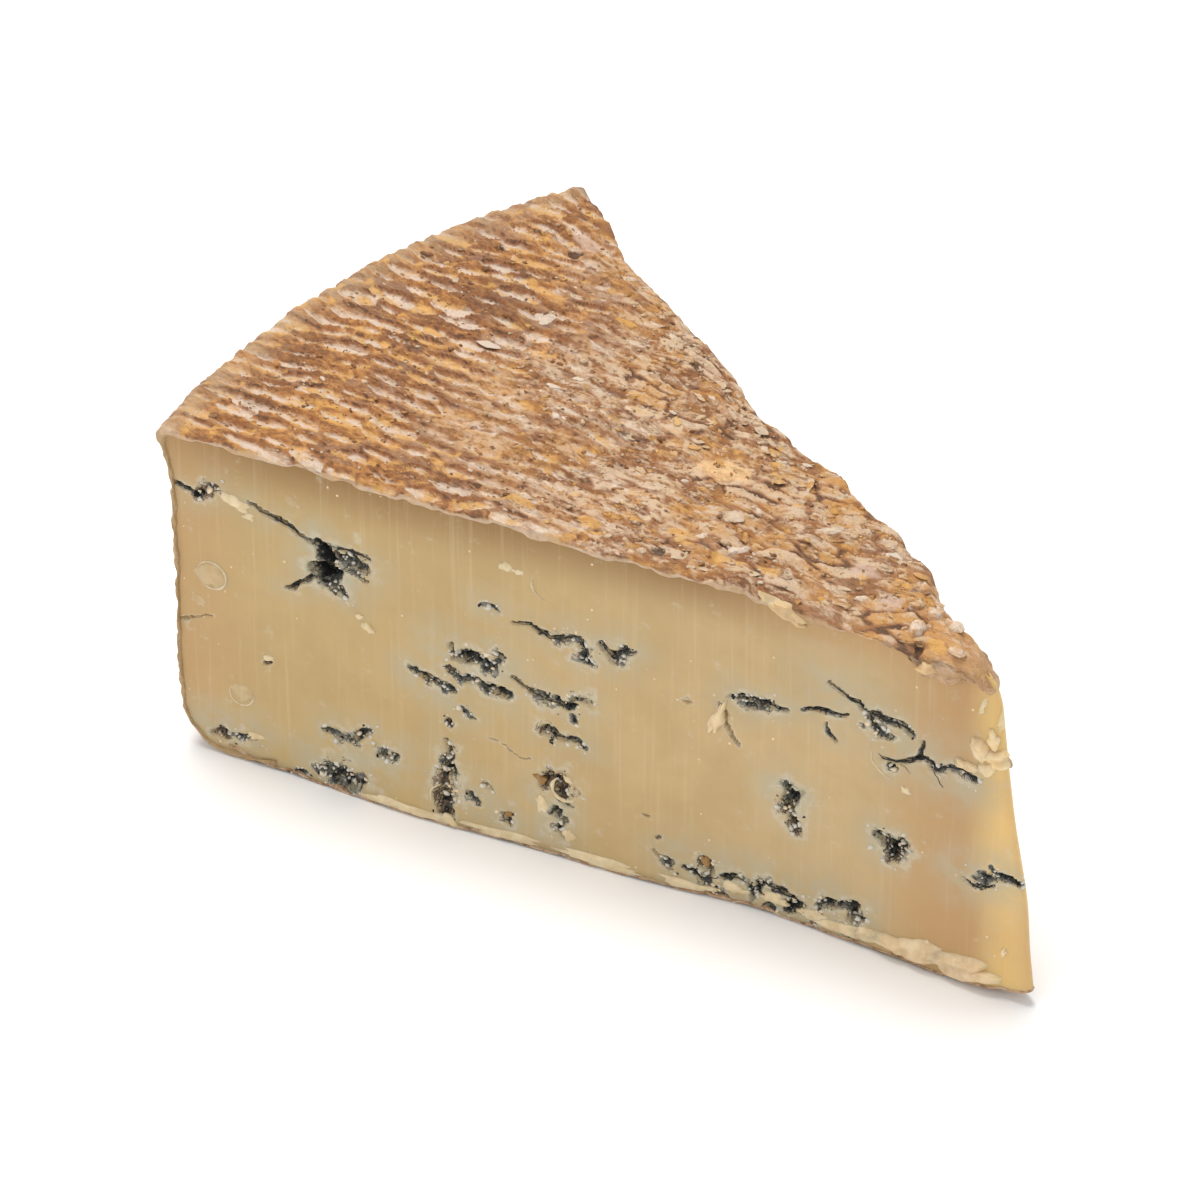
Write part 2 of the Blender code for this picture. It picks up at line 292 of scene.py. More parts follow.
def settle(plan, height, proud):
    """Carries ideal points of the sector onto the wedge's uneven form.

    The rim is inset below its shoulder, the tip leans forward towards the base, each cut
    face takes its waves, hollow, dents and proud crust, the rim its lumps, and the top
    its lumps and the droop at the tip.
    """
    radius = from_axis(plan)
    inset = RIM_INSET * smooth_step(WHEEL_HEIGHT - height, 0.0, RIM_INSET_DEPTH)
    inset = inset * smooth_step(radius, 0.0, WHEEL_RADIUS)
    plan = plan * ((radius - inset) / np.maximum(radius, TINY))[:, None]
    along = from_axis(plan)
    near_share, far_share = cut_shares(plan)
    fade = fall(along, 0.0, TIP_REACH)
    bulge = TIP_BULGE * bell(height, TIP_BULGE_HEIGHT, TIP_BULGE_REACH)
    forward = (TIP_FORWARD + bulge + TIP_LEAN * (1.0 - 2.0 * height / WHEEL_HEIGHT)) * fade
    plan = plan + np.column_stack([forward, np.zeros(len(forward))])

    depth = WHEEL_HEIGHT - height
    points = np.column_stack([plan, height])
    waves = lumps(points, CUT_WAVES)
    foot = bells(along, NEAR_FOOT_BULGES) * fall(height, 0.0, NEAR_FOOT_HEIGHT)
    dents = bells(along, FAR_EDGE_DENTS) * fall(depth, 0.0, FAR_EDGE_DEPTH)
    dents = dents + bells(along, FAR_CUT_HOLLOW) * height / WHEEL_HEIGHT
    near_shift = near_share * (proud + waves + foot)
    far_shift = far_share * (proud + waves + dents)
    plan = plan + near_shift[:, None] * OUTWARD[-1] + far_shift[:, None] * OUTWARD[1]

    rim = smooth_step(along, WHEEL_RADIUS - 2 * SHOULDER_RADIUS, WHEEL_RADIUS - RIM_INSET)
    outward = plan / np.maximum(along, TINY)[:, None]
    plan = plan + (rim * lumps(points, RIM_LUMPS))[:, None] * outward
    top = fall(depth, 0.0, RELIEF_DEPTH)
    beyond = np.maximum(along - NOSE_FRONT, 0.0)
    droop = TIP_DROOP * bell(beyond, 0.0, DROOP_REACH)
    base = fall(height, 0.0, WHEEL_HEIGHT / 4)
    lift = TIP_LIFT * bell(along, 0.0, LIFT_REACH)
    height = height + top * (lumps(points, RIND_LUMPS) - droop) + base * lift
    return np.column_stack([plan, height])


def nose_plan(turn, height):
    """Points and normals of the nose's arc; turn runs from -1, near cut, to 1, far cut."""
    radius = nose_radius(height)
    angle = turn * NOSE_SWEEP
    normal = np.column_stack([np.cos(angle), np.sin(angle)])
    centre = np.column_stack([-radius / math.sin(HALF_ANGLE), np.zeros(len(radius))])
    return centre + radius[:, None] * normal, normal


def tangent_run(height):
    """Distance from the axis at which the nose's arc leaves the cut face."""
    return nose_radius(height) / math.tan(HALF_ANGLE)


def cut_plan(along, height, side):
    """Ideal point and outward normal on a cut (side -1 near, 1 far) or round the nose."""
    before = (tangent_run(height) - along) / nose_radius(height)
    turned = np.arcsin(np.clip(before, 0.0, 0.94))
    arc, arc_normal = nose_plan(side * (1.0 - turned / NOSE_SWEEP), height)
    on_nose = (before > 0.0)[:, None]
    plan = np.where(on_nose, arc, along[:, None] * DIRECTION[side])
    return plan, np.where(on_nose, arc_normal, OUTWARD[side])


def face_point(run, height, side):
    """Point of a cut face, and its normal, by its run from the axis as it lies settled.

    The ideal run is corrected three times by what settling moved it.
    """
    along = run.copy()
    for _ in range(4):
        plan, normal = cut_plan(along, height, side)
        points = settle(plan, height, 0.0)
        along = along + run - points[:, :2] @ DIRECTION[side]
    return points, np.column_stack([normal, np.zeros(len(normal))])


# ---------------------------------------------------------------- veins of the cut faces


def with_routes(heads, *rows):
    """Rows whose numbers past the heads are folded into a route of points."""
    return tuple((*row[:heads], np.reshape(row[heads:], (-1, 2))) for row in rows)


# Kinds of stroke: darkness, brown share, haze round it, and how crumbly its edge is.
KINDS = {
    "pocket": (1.0, 0.0, 0.9, 1.0),
    # hollow: a darkness beyond 1 paints the deep holes black, partly the mould's own colour and
    # partly painted shade inside the holes.
    "hollow": (1.9, 0.0, 1.5, 0.30),
    "crack": (1.2, 0.0, 0.55, 0.70),
    "slate": (0.45, 0.0, 0.8, 1.0),
    "brown": (0.55, 0.9, 0.5, 1.0),
    "hole": (0.35, 1.0, 0.0, 0.2),
    "crease": (0.0, 1.0, 0.05, 0.2),
    "haze": (0.0, 0.0, 1.0, 1.0),
}

# Strokes of mould on a cut face: kind, half width, depth, and the route's points as
# (distance from the wheel's axis, height), all in millimetres.
NEAR_STROKES = with_routes(
    3,
    ("crack", 0.45, 2.2, 134, 53.2, 131, 51.3, 128, 51, 125, 50, 123, 49.4, 121, 47.6),
    ("hollow", 1.5, 3.5, 121.4, 48.6, 120, 47.4, 118.8, 45.6),
    ("hollow", 2.1, 6.0, 121.8, 43.6, 120, 43.2, 118.2, 43.4),
    ("crack", 0.53, 2.5, 127.6, 38, 126, 38.4, 123.7, 39.7, 121.9, 41.4),
    ("slate", 1.9, 1.6, 117.5, 47.4, 115, 47, 113, 46.6),
    ("crack", 0.37, 1.8, 117.4, 49, 114, 49.4, 111.8, 48.6),
    ("crack", 0.45, 2.2, 117, 45.2, 114.8, 44.6, 112.8, 43.9),
    ("slate", 1.0, 0.8, 120.5, 40.8, 118, 41.2, 116.6, 40.4),
    ("crack", 0.41, 1.5, 149, 52.8, 146, 53, 142.8, 52),
    ("brown", 1.1, 0.7, 143, 51.8, 140, 53.6, 139, 54),
    ("crease", 0.25, 0.4, 148, 25.5, 144, 26.8, 141, 27.7),
    ("hole", 0.6, 1.4, 132, 21.7, 131, 22),
    ("pocket", 1.2, 2.4, 97.4, 36.4, 96.7, 33.8, 95.5, 34, 94.2, 35.2, 92.4, 35.4),
    ("slate", 1.2, 1.2, 92.4, 35.6, 90.6, 34.4, 89.4, 36),
    ("pocket", 0.9, 2.2, 89.9, 37.4, 88.2, 36.9),
    ("pocket", 0.85, 2.0, 98.8, 31.1, 95.8, 29.8, 92.8, 30.5, 90.5, 29.5, 87.6, 29.3),
    ("haze", 2.8, 0.0, 99, 35, 94, 32, 88, 34),
    ("pocket", 0.75, 1.8, 105.3, 28.8, 103.5, 28.2, 100.5, 27.9),
    ("slate", 0.7, 0.8, 100.5, 27.6, 98, 27.4, 97, 26.8),
    ("haze", 1.5, 0.0, 104, 27, 98, 26),
    ("slate", 0.6, 0.4, 96, 24, 93.4, 22.4),
    ("crack", 0.49, 1.4, 86.1, 44.4, 83.2, 44.7, 81.4, 43.7, 78.1, 43.6),
    ("slate", 1.1, 1.2, 78.5, 43.6, 75.6, 44.6, 74, 43, 74.4, 41, 72.9, 40.7),
    ("pocket", 0.9, 1.8, 71, 45.6, 69.2, 44, 67.4, 45.6, 65.8, 45.6),
    ("slate", 0.9, 1.0, 69.6, 43.4, 67.6, 43),
    ("slate", 0.4, 0.5, 92, 46.4, 90, 46.7, 88.6, 46.2),
    ("pocket", 0.9, 2.4, 84, 31.8, 81.5, 31.2, 80.2, 30.8, 78.5, 31.6),
    ("crack", 0.41, 1.5, 87.5, 33.4, 85.2, 32.2, 83.9, 31.8),
    ("crack", 0.49, 1.6, 79, 31, 76.7, 30.8, 74.8, 31.6),
    ("slate", 0.9, 1.2, 75.6, 32.8, 74.2, 33.2, 73.2, 32.2),
    ("slate", 0.5, 0.5, 76, 29.6, 75, 27.8),
    ("brown", 1.2, 1.6, 82.4, 24.9, 80.5, 25.6, 78.8, 24.6),
    ("slate", 0.6, 0.8, 78, 24.4, 76.4, 24.8, 73.4, 24.2),
    ("crease", 0.18, 0.2, 91.4, 19.8, 88.8, 18.6, 86, 18.0, 84.2, 18.4),
    ("brown", 0.8, 1.0, 98.6, 21.2, 98.4, 20),
    ("brown", 0.9, 1.5, 99.6, 17, 98.4, 14.6, 97.8, 13),
    ("pocket", 1.4, 2.8, 99.2, 12.4, 98, 10.6, 99.4, 8.6),
    ("brown", 1.5, 1.8, 99.4, 9, 98.6, 6, 99, 3.4, 98.2, 1.4),
    ("pocket", 0.9, 1.8, 94.6, 7.6, 93.6, 6.6),
    ("brown", 0.7, 1.0, 92.2, 10.6, 91, 10.2),
    ("pocket", 1.0, 2.0, 88.9, 5.8, 88, 4.6),
    ("haze", 1.8, 0.0, 94, 7, 88, 5),
    ("brown", 1.9, 2.0, 80.6, 15.6, 78.6, 14.6, 78, 12),
    ("hollow", 1.4, 3.4, 79.9, 9.8, 79.5, 8.8),
    ("brown", 1.2, 1.8, 78.2, 8, 78.8, 5.6, 77.6, 4),
    ("hole", 1.1, 1.6, 82.2, 14.2, 81.2, 14.6),
    ("haze", 2.4, 0.0, 81, 12, 79.5, 4),
    ("crease", 0.4, 0.4, 64.4, 14.4, 62.6, 13.6),
    ("hole", 0.45, 0.6, 61.6, 9.6, 61, 9.5),
    ("crease", 0.35, 0.4, 61.8, 7, 60, 5.6, 58.6, 5),
    ("crease", 0.4, 0.5, 57.6, 39.6, 56, 39.8),
    ("crease", 0.5, 0.8, 50.4, 40.8, 49.3, 38.6, 48.2, 36, 47.3, 33.4),
    ("pocket", 0.75, 2.0, 49, 42.7, 46.4, 43.3, 43.2, 43, 41, 43.6, 39, 43.4),
    ("slate", 0.8, 1.2, 46.8, 42, 45, 41.6),
    ("crack", 0.37, 1.0, 36.7, 43.7, 33.5, 44.8, 31.3, 45.3, 29.1, 46),
    ("crack", 0.33, 1.2, 32.4, 42.8, 31.6, 41.4, 30.4, 40.2),
    ("crack", 0.45, 1.4, 31.6, 51.7, 30, 50.2, 27.8, 48.9, 25.4, 47.6),
    ("pocket", 0.7, 1.6, 27.4, 48.4, 25.2, 47.5, 22.7, 47.5, 19.7, 47, 17.7, 45.2),
    ("slate", 0.8, 1.0, 24.4, 46.4, 23, 44.6, 21.6, 43.6),
    ("slate", 0.5, 0.6, 26.4, 45.4, 25.8, 44.8),
    ("crack", 0.41, 1.0, 23.2, 40.3, 21, 39.6, 19, 40.4, 16.5, 40.6, 16, 42, 15.4, 44.8),
    ("slate", 0.8, 1.2, 21.6, 38.6, 20.2, 37.6),
    ("pocket", 0.7, 1.6, 15.4, 41.2, 13.6, 39.8, 12.2, 40.3),
    ("slate", 0.9, 1.0, 12.6, 40, 10, 41.6, 8.8, 41.5, 7.2, 40.4),
    ("haze", 3.4, 0.0, 32, 50, 24, 46, 17, 42, 9, 40),
    ("hollow", 1.6, 4.0, 39.2, 27, 38.4, 25.6),
    ("pocket", 1.9, 3.0, 39.4, 28, 38.4, 26.2, 38.4, 23),
    ("brown", 1.5, 2.4, 38.2, 24.2, 38.6, 22, 38, 20.4),
    ("hollow", 1.0, 4.0, 21.4, 23.5, 20.8, 23.2),
    ("pocket", 1.6, 3.0, 22.6, 24, 20.4, 22.4, 20.8, 21),
    ("brown", 1.3, 2.0, 19.4, 24.6, 19, 23, 19.6, 21.2, 20.6, 20),
    ("crack", 0.37, 1.0, 8.4, 21, 6.4, 20, 5, 21.1, 2.6, 21.6),
    ("slate", 1.2, 0.7, 6, 22.2, 3.2, 23.4),
    ("pocket", 0.5, 1.0, 3.4, 25.9, 1.8, 24.2, -0.6, 23.3, -3.2, 22.8),
    ("haze", 2.8, 0.0, 8, 22, 1, 23.6),
    ("slate", 1.0, 1.4, 60, 6, 59, 4),
    ("pocket", 0.8, 1.8, 56.4, 4.5, 54.6, 4.4, 53.6, 3.4),
    ("brown", 0.9, 1.4, 53, 8.2, 52.6, 5.6, 53, 3),
    ("pocket", 0.8, 1.8, 50.4, 5, 48, 5.2, 46.4, 4.8),
    ("slate", 0.9, 1.4, 45.8, 4.4, 45.4, 2.4),
    ("pocket", 0.9, 2.0, 44.8, 5, 43, 5.9, 40.5, 6.1, 38.4, 5.6),
    ("slate", 1.0, 1.8, 38, 5.6, 37.2, 4.6, 36.8, 3.2),
    ("pocket", 1.3, 2.6, 32.8, 5.2, 31, 5.8, 29.6, 6),
    ("pocket", 1.5, 3.0, 28.6, 6.6, 27.4, 6.6, 26.8, 4.8),
    ("slate", 0.8, 1.2, 25.8, 5, 24.6, 5.6),
    ("slate", 1.1, 1.2, 53.6, 3.6, 52.4, 1.8, 50.4, 1.0),
    ("pocket", 1.0, 1.8, 45.4, 1.4, 44.6, 3.4, 44.2, 5.4),
    ("slate", 0.8, 1.0, 42.6, 1.2, 40.6, 1.6),
    ("pocket", 1.2, 2.2, 38.4, 2.2, 37.6, 4.0, 36.4, 4.8),
    ("pocket", 0.8, 1.4, 34.6, 1.0, 33.2, 2.4, 32.6, 4.2),
    ("slate", 0.9, 1.2, 29.4, 2.4, 27.8, 2.2, 26.2, 3.2),
    ("haze", 2.4, 0.0, 58, 7, 44, 7.6, 26, 8.6),
    ("slate", 1.0, 1.2, 120.4, 11.6, 117.4, 11, 115, 11.8, 112.6, 13.2),
    ("slate", 1.1, 1.6, 110.4, 9.8, 108, 10.6),
    ("pocket", 0.7, 1.8, 109.6, 10.4, 108.6, 9.8),
    ("pocket", 1.9, 2.2, 119.4, 3, 117.4, 2.6, 115, 2.4),
    ("slate", 1.4, 1.0, 122, 3.6, 119, 4.6, 114, 4),
    ("haze", 2.0, 0.0, 124, 5, 116, 7, 108, 10),
    ("brown", 1.1, 1.0, 141.4, 3.6, 138.4, 4),
    ("slate", 0.9, 0.8, 137.8, 4.4, 134, 5.2),
    ("slate", 0.7, 0.8, 127, 0.6, 124.6, 1.4),
    ("haze", 2.2, 0.0, 142, 6, 134, 6),
)
FAR_STROKES = with_routes(
    3,
    ("crack", 0.45, 2.2, 124, 41, 119, 38.6, 114, 37.6, 110, 35),
    ("pocket", 1.6, 4.5, 110, 33, 108, 32, 106.4, 31.4),
    ("slate", 1.6, 1.4, 106, 33.4, 103, 34.6),
    ("crack", 0.41, 1.6, 104, 30.4, 100, 28.8, 97.6, 29.4),
    ("pocket", 1.2, 2.8, 91, 25, 88, 24, 85.6, 23.2),
    ("slate", 1.0, 1.2, 85, 24, 82.6, 25.4, 80.8, 25),
    ("haze", 2.8, 0.0, 92, 26, 82, 24),
    ("brown", 1.5, 2.2, 92.4, 16, 91.6, 12, 92.2, 7, 91.4, 2.6),
    ("pocket", 1.2, 2.4, 92, 11, 91.6, 9),
    ("pocket", 0.8, 1.8, 76, 45.6, 72.6, 44.6, 69, 45.2, 66, 44),
    ("slate", 0.9, 1.0, 71, 43.4, 68.6, 42),
    ("crack", 0.41, 1.2, 64, 43.4, 60, 42.4, 57.6, 43),
    ("pocket", 1.8, 4.0, 45, 31, 44, 29.4, 43.4, 28),
    ("brown", 1.3, 2.0, 42.8, 27, 42.4, 24.6),
    ("haze", 2.6, 0.0, 46, 31, 42, 25),
    ("pocket", 0.7, 1.6, 31, 46, 27.6, 44.6, 24.4, 43.8, 21, 42),
    ("slate", 0.8, 1.0, 24, 42.4, 21.6, 40.6),
    ("haze", 2.4, 0.0, 28, 44, 20, 41),
    ("slate", 1.0, 1.2, 128, 14, 124.6, 12.8, 122, 13.6),
    ("pocket", 1.0, 1.8, 136, 6, 133, 5.4, 130.6, 6),
    ("haze", 2.6, 0.0, 137, 8, 128, 8),
    ("pocket", 0.9, 2.0, 70, 6, 66.4, 5.6, 62.8, 6.2, 59, 5.2),
    ("slate", 1.0, 1.4, 57, 5.4, 54, 6.4, 51, 5.8),
    ("pocket", 1.1, 2.2, 40, 6.2, 37, 7, 34.6, 6),
    ("crack", 0.33, 1.0, 20, 22, 15, 20.6, 12, 21.4),
    ("slate", 0.9, 0.9, 16, 22, 13.4, 22.6),
    ("hole", 0.6, 1.2, 112, 18.4, 111.2, 18.6),
    ("brown", 1.0, 1.2, 143, 30, 140, 31.4),
    ("crack", 0.33, 1.0, 146, 44, 142, 44.8, 138, 43.6),
)

STROKE_REACH = 9.0
HAZE_REACH = 0.0028
NO_VEIN = -2.5
WARP = ((0.0040, 0.00075, 41), (0.0015, 0.00030, 42))
EDGE_CRUMBLE = ((0.0017, 0.34, 43), (0.0008, 0.26, 44))


def route_distance(run, height, route):
    """Distance to a route in the plane of the face, and the share of it passed there."""
    points = np.array(route, float) * MM
    steps = np.hypot(*np.diff(points, axis=0).T)
    total = steps.sum()
    nearest = np.full(len(run), 1.0)
    share = np.zeros(len(run))
    passed = 0.0
    for start, end, step in zip(points[:-1], points[1:], steps):
        line = (end - start) / step
        away_run = run - start[0]
        away_height = height - start[1]
        part = np.clip(away_run * line[0] + away_height * line[1], 0.0, step)
        gap = np.hypot(away_run - part * line[0], away_height - part * line[1])
        closer = gap < nearest
        nearest = np.where(closer, gap, nearest)
        share = np.where(closer, (passed + part) / total, share)
        passed += step
    return nearest, share


def vein_fields(run, height, strokes):
    """What the strokes do at points of a cut face.

    For each stroke the level is 1 on its route and falls by 1 over each half width,
    after the plane is warped by noise. The fields keep the highest level, and with it the
    darkness, brown share and depth; haze is a bell about the route.
    """
    warped_run = run + flat_lumps(run, height, WARP)
    warped_height = height + flat_lumps(height + 0.5, run, WARP)
    crumble = flat_lumps(run, height, EDGE_CRUMBLE)
    fields = {
        "vein": np.full(len(run), NO_VEIN),
        "dark": np.zeros(len(run)),
        "brown": np.zeros(len(run)),
        "haze": np.zeros(len(run)),
        "depth": np.zeros(len(run)),
    }
    for kind, half_width, deep, route in strokes:
        darkness, brown, haze, crumbly = KINDS[kind]
        low = (np.min(route, axis=0) - STROKE_REACH) * MM
        high = (np.max(route, axis=0) + STROKE_REACH) * MM
        inside = (run > low[0]) & (run < high[0]) & (height > low[1]) & (height < high[1])
        here = np.flatnonzero(inside)
        gap, share = route_distance(warped_run[here], warped_height[here], route)
        width = half_width * MM * (0.62 + 0.5 * np.sin(math.pi * share))
        glow = haze * bell(gap, 0.0, half_width * MM + HAZE_REACH)
        fields["haze"][here] = np.maximum(fields["haze"][here], glow)
        if kind == "haze":
            continue
        level = 1.0 - gap / width + crumbly * crumble[here]
        level = np.maximum(level, NO_VEIN)
        higher = level > fields["vein"][here]
        taken = here[higher]
        fields["vein"][taken] = level[higher]
        fields["dark"][taken] = darkness
        fields["brown"][taken] = brown
        sunk = deep * MM * smooth_step(level, 0.0, 0.75)
        fields["depth"][here] = np.maximum(fields["depth"][here], sunk)
    return fields


# ---------------------------------------------------------------- meshes


def to_part(points):
    """From the wheel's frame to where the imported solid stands, kept above the floor."""
    moved = points + AXIS
    moved[:, 2] = np.maximum(moved[:, 2], 0.0)
    return moved


def new_mesh_object(name, points, faces, fields, material):
    """A smooth-shaded object from points, groups of faces and one number per point
    for each field. A closed shell's faces are turned outwards."""
    faces = [np.asarray(group, np.int32) for group in faces if len(group)]
    mesh = bpy.data.meshes.new(name)
    mesh.vertices.add(len(points))
    mesh.vertices.foreach_set("co", to_part(points).astype(np.float32).ravel())
    corners = np.concatenate([group.ravel() for group in faces])
    sizes = np.concatenate([np.full(len(group), group.shape[1]) for group in faces])
    mesh.loops.add(len(corners))
    mesh.loops.foreach_set("vertex_index", corners)
    mesh.polygons.add(len(sizes))
    starts = np.concatenate([[0], np.cumsum(sizes)[:-1]]).astype(np.int32)
    mesh.polygons.foreach_set("loop_start", starts)
    mesh.update(calc_edges=True)
    for field, values in fields.items():
        attribute = mesh.attributes.new(field, "FLOAT", "POINT")
        attribute.data.foreach_set("value", np.asarray(values, np.float32))
    bm = bmesh.new()
    bm.from_mesh(mesh)
    bmesh.ops.recalc_face_normals(bm, faces=bm.faces)
    bm.to_mesh(mesh)
    bm.free()
    mesh.shade_smooth()
    mesh.materials.append(material)
    piece = bpy.data.objects.new(name, mesh)
    bpy.context.scene.collection.objects.link(piece)
    return piece


class Shell:
    """Collects the points, faces and fields of one mesh."""

    def __init__(self):
        self.blocks, self.faces, self.count = [], [], 0

    def add(self, points, **fields):
        """Adds a block of points with its fields and returns the points' numbers."""
        self.blocks.append((points, fields))
        self.count += len(points)
        return self.count - len(points) + np.arange(len(points))

    def attach(self, points, faces, **fields):
        """Adds a whole shape, whose faces count its own points."""
        self.faces.append(faces + self.count)
        self.add(points, **fields)

    def points(self):
        """All points so far."""
        return np.concatenate([points for points, _ in self.blocks])

    def piece(self, name, material):
        """The mesh object; a field is 0 on a block that leaves it out."""
        whole = {}
        for key in sorted({key for _, fields in self.blocks for key in fields}):
            parts = [np.broadcast_to(own.get(key, 0.0), len(block)) for block, own in self.blocks]
            whole[key] = np.concatenate(parts)
        return new_mesh_object(name, self.points(), self.faces, whole, material)


def closed(index):
    """Rows of point numbers, each with its first number again at its end."""
    return np.concatenate([index, index[..., :1]], axis=-1)


def grid_quads(index):
    """Quads of a grid of point numbers."""
    corners = [index[:-1, :-1], index[:-1, 1:], index[1:, 1:], index[1:, :-1]]
    return np.stack(corners, -1).reshape(-1, 4)


def split(quads):
    """Two triangles for each quad."""
    return np.concatenate([quads[:, :3], quads[:, [0, 2, 3]]])


def ladder(left, right):
    """Quads between two equally long rows of point numbers."""
    return np.column_stack([left[:-1], left[1:], right[1:], right[:-1]])


def fan(rim, centre):
    """Triangles from each step of a row of point numbers to one point."""
    return np.column_stack([rim[:-1], rim[1:], np.full(len(rim) - 1, centre)])


def halving(coarse, fine):
    """Triangles from a row of n + 1 points to a row of 2n + 1 points."""
    left, right = coarse[:-1], coarse[1:]
    first, middle, last = fine[:-2:2], fine[1::2], fine[2::2]
    return np.concatenate(
        [
            np.column_stack([left, first, middle]),
            np.column_stack([left, middle, right]),
            np.column_stack([right, middle, last]),
        ]
    )


# ---------------------------------------------------------------- paste

PASTE_NEAR_STEPS = 345
PASTE_NOSE_STEPS = 22
PASTE_FAR_STEPS = 225
PASTE_BACK_STEPS = 12
PASTE_ROWS = 150
PASTE_BOTTOM = 0.0003
PASTE_TOP_GAP = 0.0010
PASTE_BACK_GAP = 0.0006
CAP_INSET = 0.0030
CAP_DROP = 0.0045
CAP_BACK = 0.0060
VEIN_FLOOR = ((0.0013, 0.45, 61), (0.0006, 0.25, 62))
VEIN_DEPTH = 0.006
TIP_VEIN_DEPTH = 0.0006
KNIFE_MARKS = ((0.0045, 0.00006, 51), (0.0016, 0.000035, 52))


def paste_plan(heights):
    """Ideal plan points and normals of the paste's closed outline at each height.

    The outline runs in along the near cut, round the nose, out along the far cut and
    back along an arc just inside the rim.
    """
    tangent = tangent_run(heights)
    reach = rim_radius(heights) - PASTE_BACK_GAP
    every = np.ones((len(heights), 1))
    places = []
    cuts = (-1, 1.0, 0.0, PASTE_NEAR_STEPS), (1, 0.0, 1.0, PASTE_FAR_STEPS)
    for side, start, end, steps in cuts:
        for share in np.linspace(start, end, steps + 1):
            along = tangent + share * (reach - tangent)
            places.append((along[:, None] * DIRECTION[side], every * OUTWARD[side]))
        if side < 0:
            for turn in np.linspace(-1.0, 1.0, PASTE_NOSE_STEPS + 1)[1:-1]:
                places.append(nose_plan(turn * every[:, 0], heights))
    for share in np.linspace(1.0, -1.0, PASTE_BACK_STEPS + 1)[1:-1]:
        angle = share * HALF_ANGLE
        direction = np.array([-math.cos(angle), math.sin(angle)])
        places.append((reach[:, None] * direction, every * direction))
    plans, normals = zip(*places)
    return np.stack(plans, 1), np.stack(normals, 1)


def paste_relief(points, normals, side, strokes):
    """Sinks a cut face's veins and adds knife marks; returns points and the fields."""
    run = points[:, :2] @ DIRECTION[side]
    fields = vein_fields(run, points[:, 2], strokes)
    floor = 0.85 + flat_lumps(run, points[:, 2], VEIN_FLOOR)
    depth = fields.pop("depth") * np.clip(floor, 0.25, 1.4)
    tip_room = smooth_step(run, -0.004, 0.016)
    depth = np.minimum(depth, TIP_VEIN_DEPTH + VEIN_DEPTH * tip_room)
    stretched = np.column_stack([points[:, :2], 0.25 * points[:, 2]])
    marks = lumps(stretched, KNIFE_MARKS)
    return points + normals * (marks - depth)[:, None], fields


def build_paste(material):
    """The paste: both cut faces and the nose with their veins, closed inside the crust."""
    heights = np.linspace(PASTE_BOTTOM, WHEEL_HEIGHT - PASTE_TOP_GAP, PASTE_ROWS)
    plan, normal = paste_plan(heights)
    rows, columns = plan.shape[:2]
    points = settle(plan.reshape(-1, 2), np.repeat(heights, columns), 0.0)
    normals = np.column_stack([normal.reshape(-1, 2), np.zeros(rows * columns)])

    near_end = PASTE_NEAR_STEPS + 1 + (PASTE_NOSE_STEPS - 1) // 2
    far_end = PASTE_NEAR_STEPS + PASTE_NOSE_STEPS + PASTE_FAR_STEPS + 1
    column = np.tile(np.arange(columns), rows)
    fields = {key: np.zeros(len(points)) for key in ("vein", "dark", "brown", "haze")}
    fields["vein"] += NO_VEIN
    for side, strokes, low, high in (
        (-1, NEAR_STROKES, 0, near_end),
        (1, FAR_STROKES, near_end, far_end),
    ):
        chosen = np.flatnonzero((column >= low) & (column < high))
        points[chosen], found = paste_relief(points[chosen], normals[chosen], side, strokes)
        for key, values in found.items():
            fields[key][chosen] = values
    fields["run"] = from_axis(points)
    # rind_gap: distance from the crust above, from the rim and from the base; it sets the tan band,
    # partly painted shade under the crust's lip and darker towards the bottom.
    from_rim = 1.5 * np.maximum(WHEEL_RADIUS - RIM_INSET - fields["run"], 0.0) + 0.0080
    from_rind = np.minimum(WHEEL_HEIGHT - points[:, 2], from_rim)
    from_base = 4.0 * points[:, 2] + 0.0016
    fields["rind_gap"] = np.maximum(np.minimum(from_rind, from_base), 0.0) / MM

    shell = Shell()
    index = shell.add(points, **fields).reshape(rows, columns)
    shell.faces.append(grid_quads(closed(index)))
    centre = settle(np.array([[-CAP_BACK, 0.0]]), np.array([WHEEL_HEIGHT / 2]), 0.0)[0]
    nose = slice(PASTE_NEAR_STEPS - 8, PASTE_NEAR_STEPS + PASTE_NOSE_STEPS + 8)
    for ring, drop in ((index[0], CAP_DROP), (index[-1], -CAP_DROP)):
        inner = points[ring] - normals[ring] * CAP_INSET + np.array([0.0, 0.0, drop])
        inner[nose] = np.array([centre[0] - CAP_BACK, centre[1], points[ring[0], 2] + drop])
        own = {key: values[ring] for key, values in fields.items()}
        inner_loop = closed(shell.add(inner, **own))
        middle = inner[[0, far_end - 1]].mean(axis=0)[None, :] * np.array([0.55, 0.55, 1.0])
        hub = shell.add(middle, **{key: values[:1] for key, values in own.items()})
        shell.faces += [ladder(closed(ring), inner_loop), fan(inner_loop, hub[0])]
    return shell.piece("paste", material)


# ---------------------------------------------------------------- crust

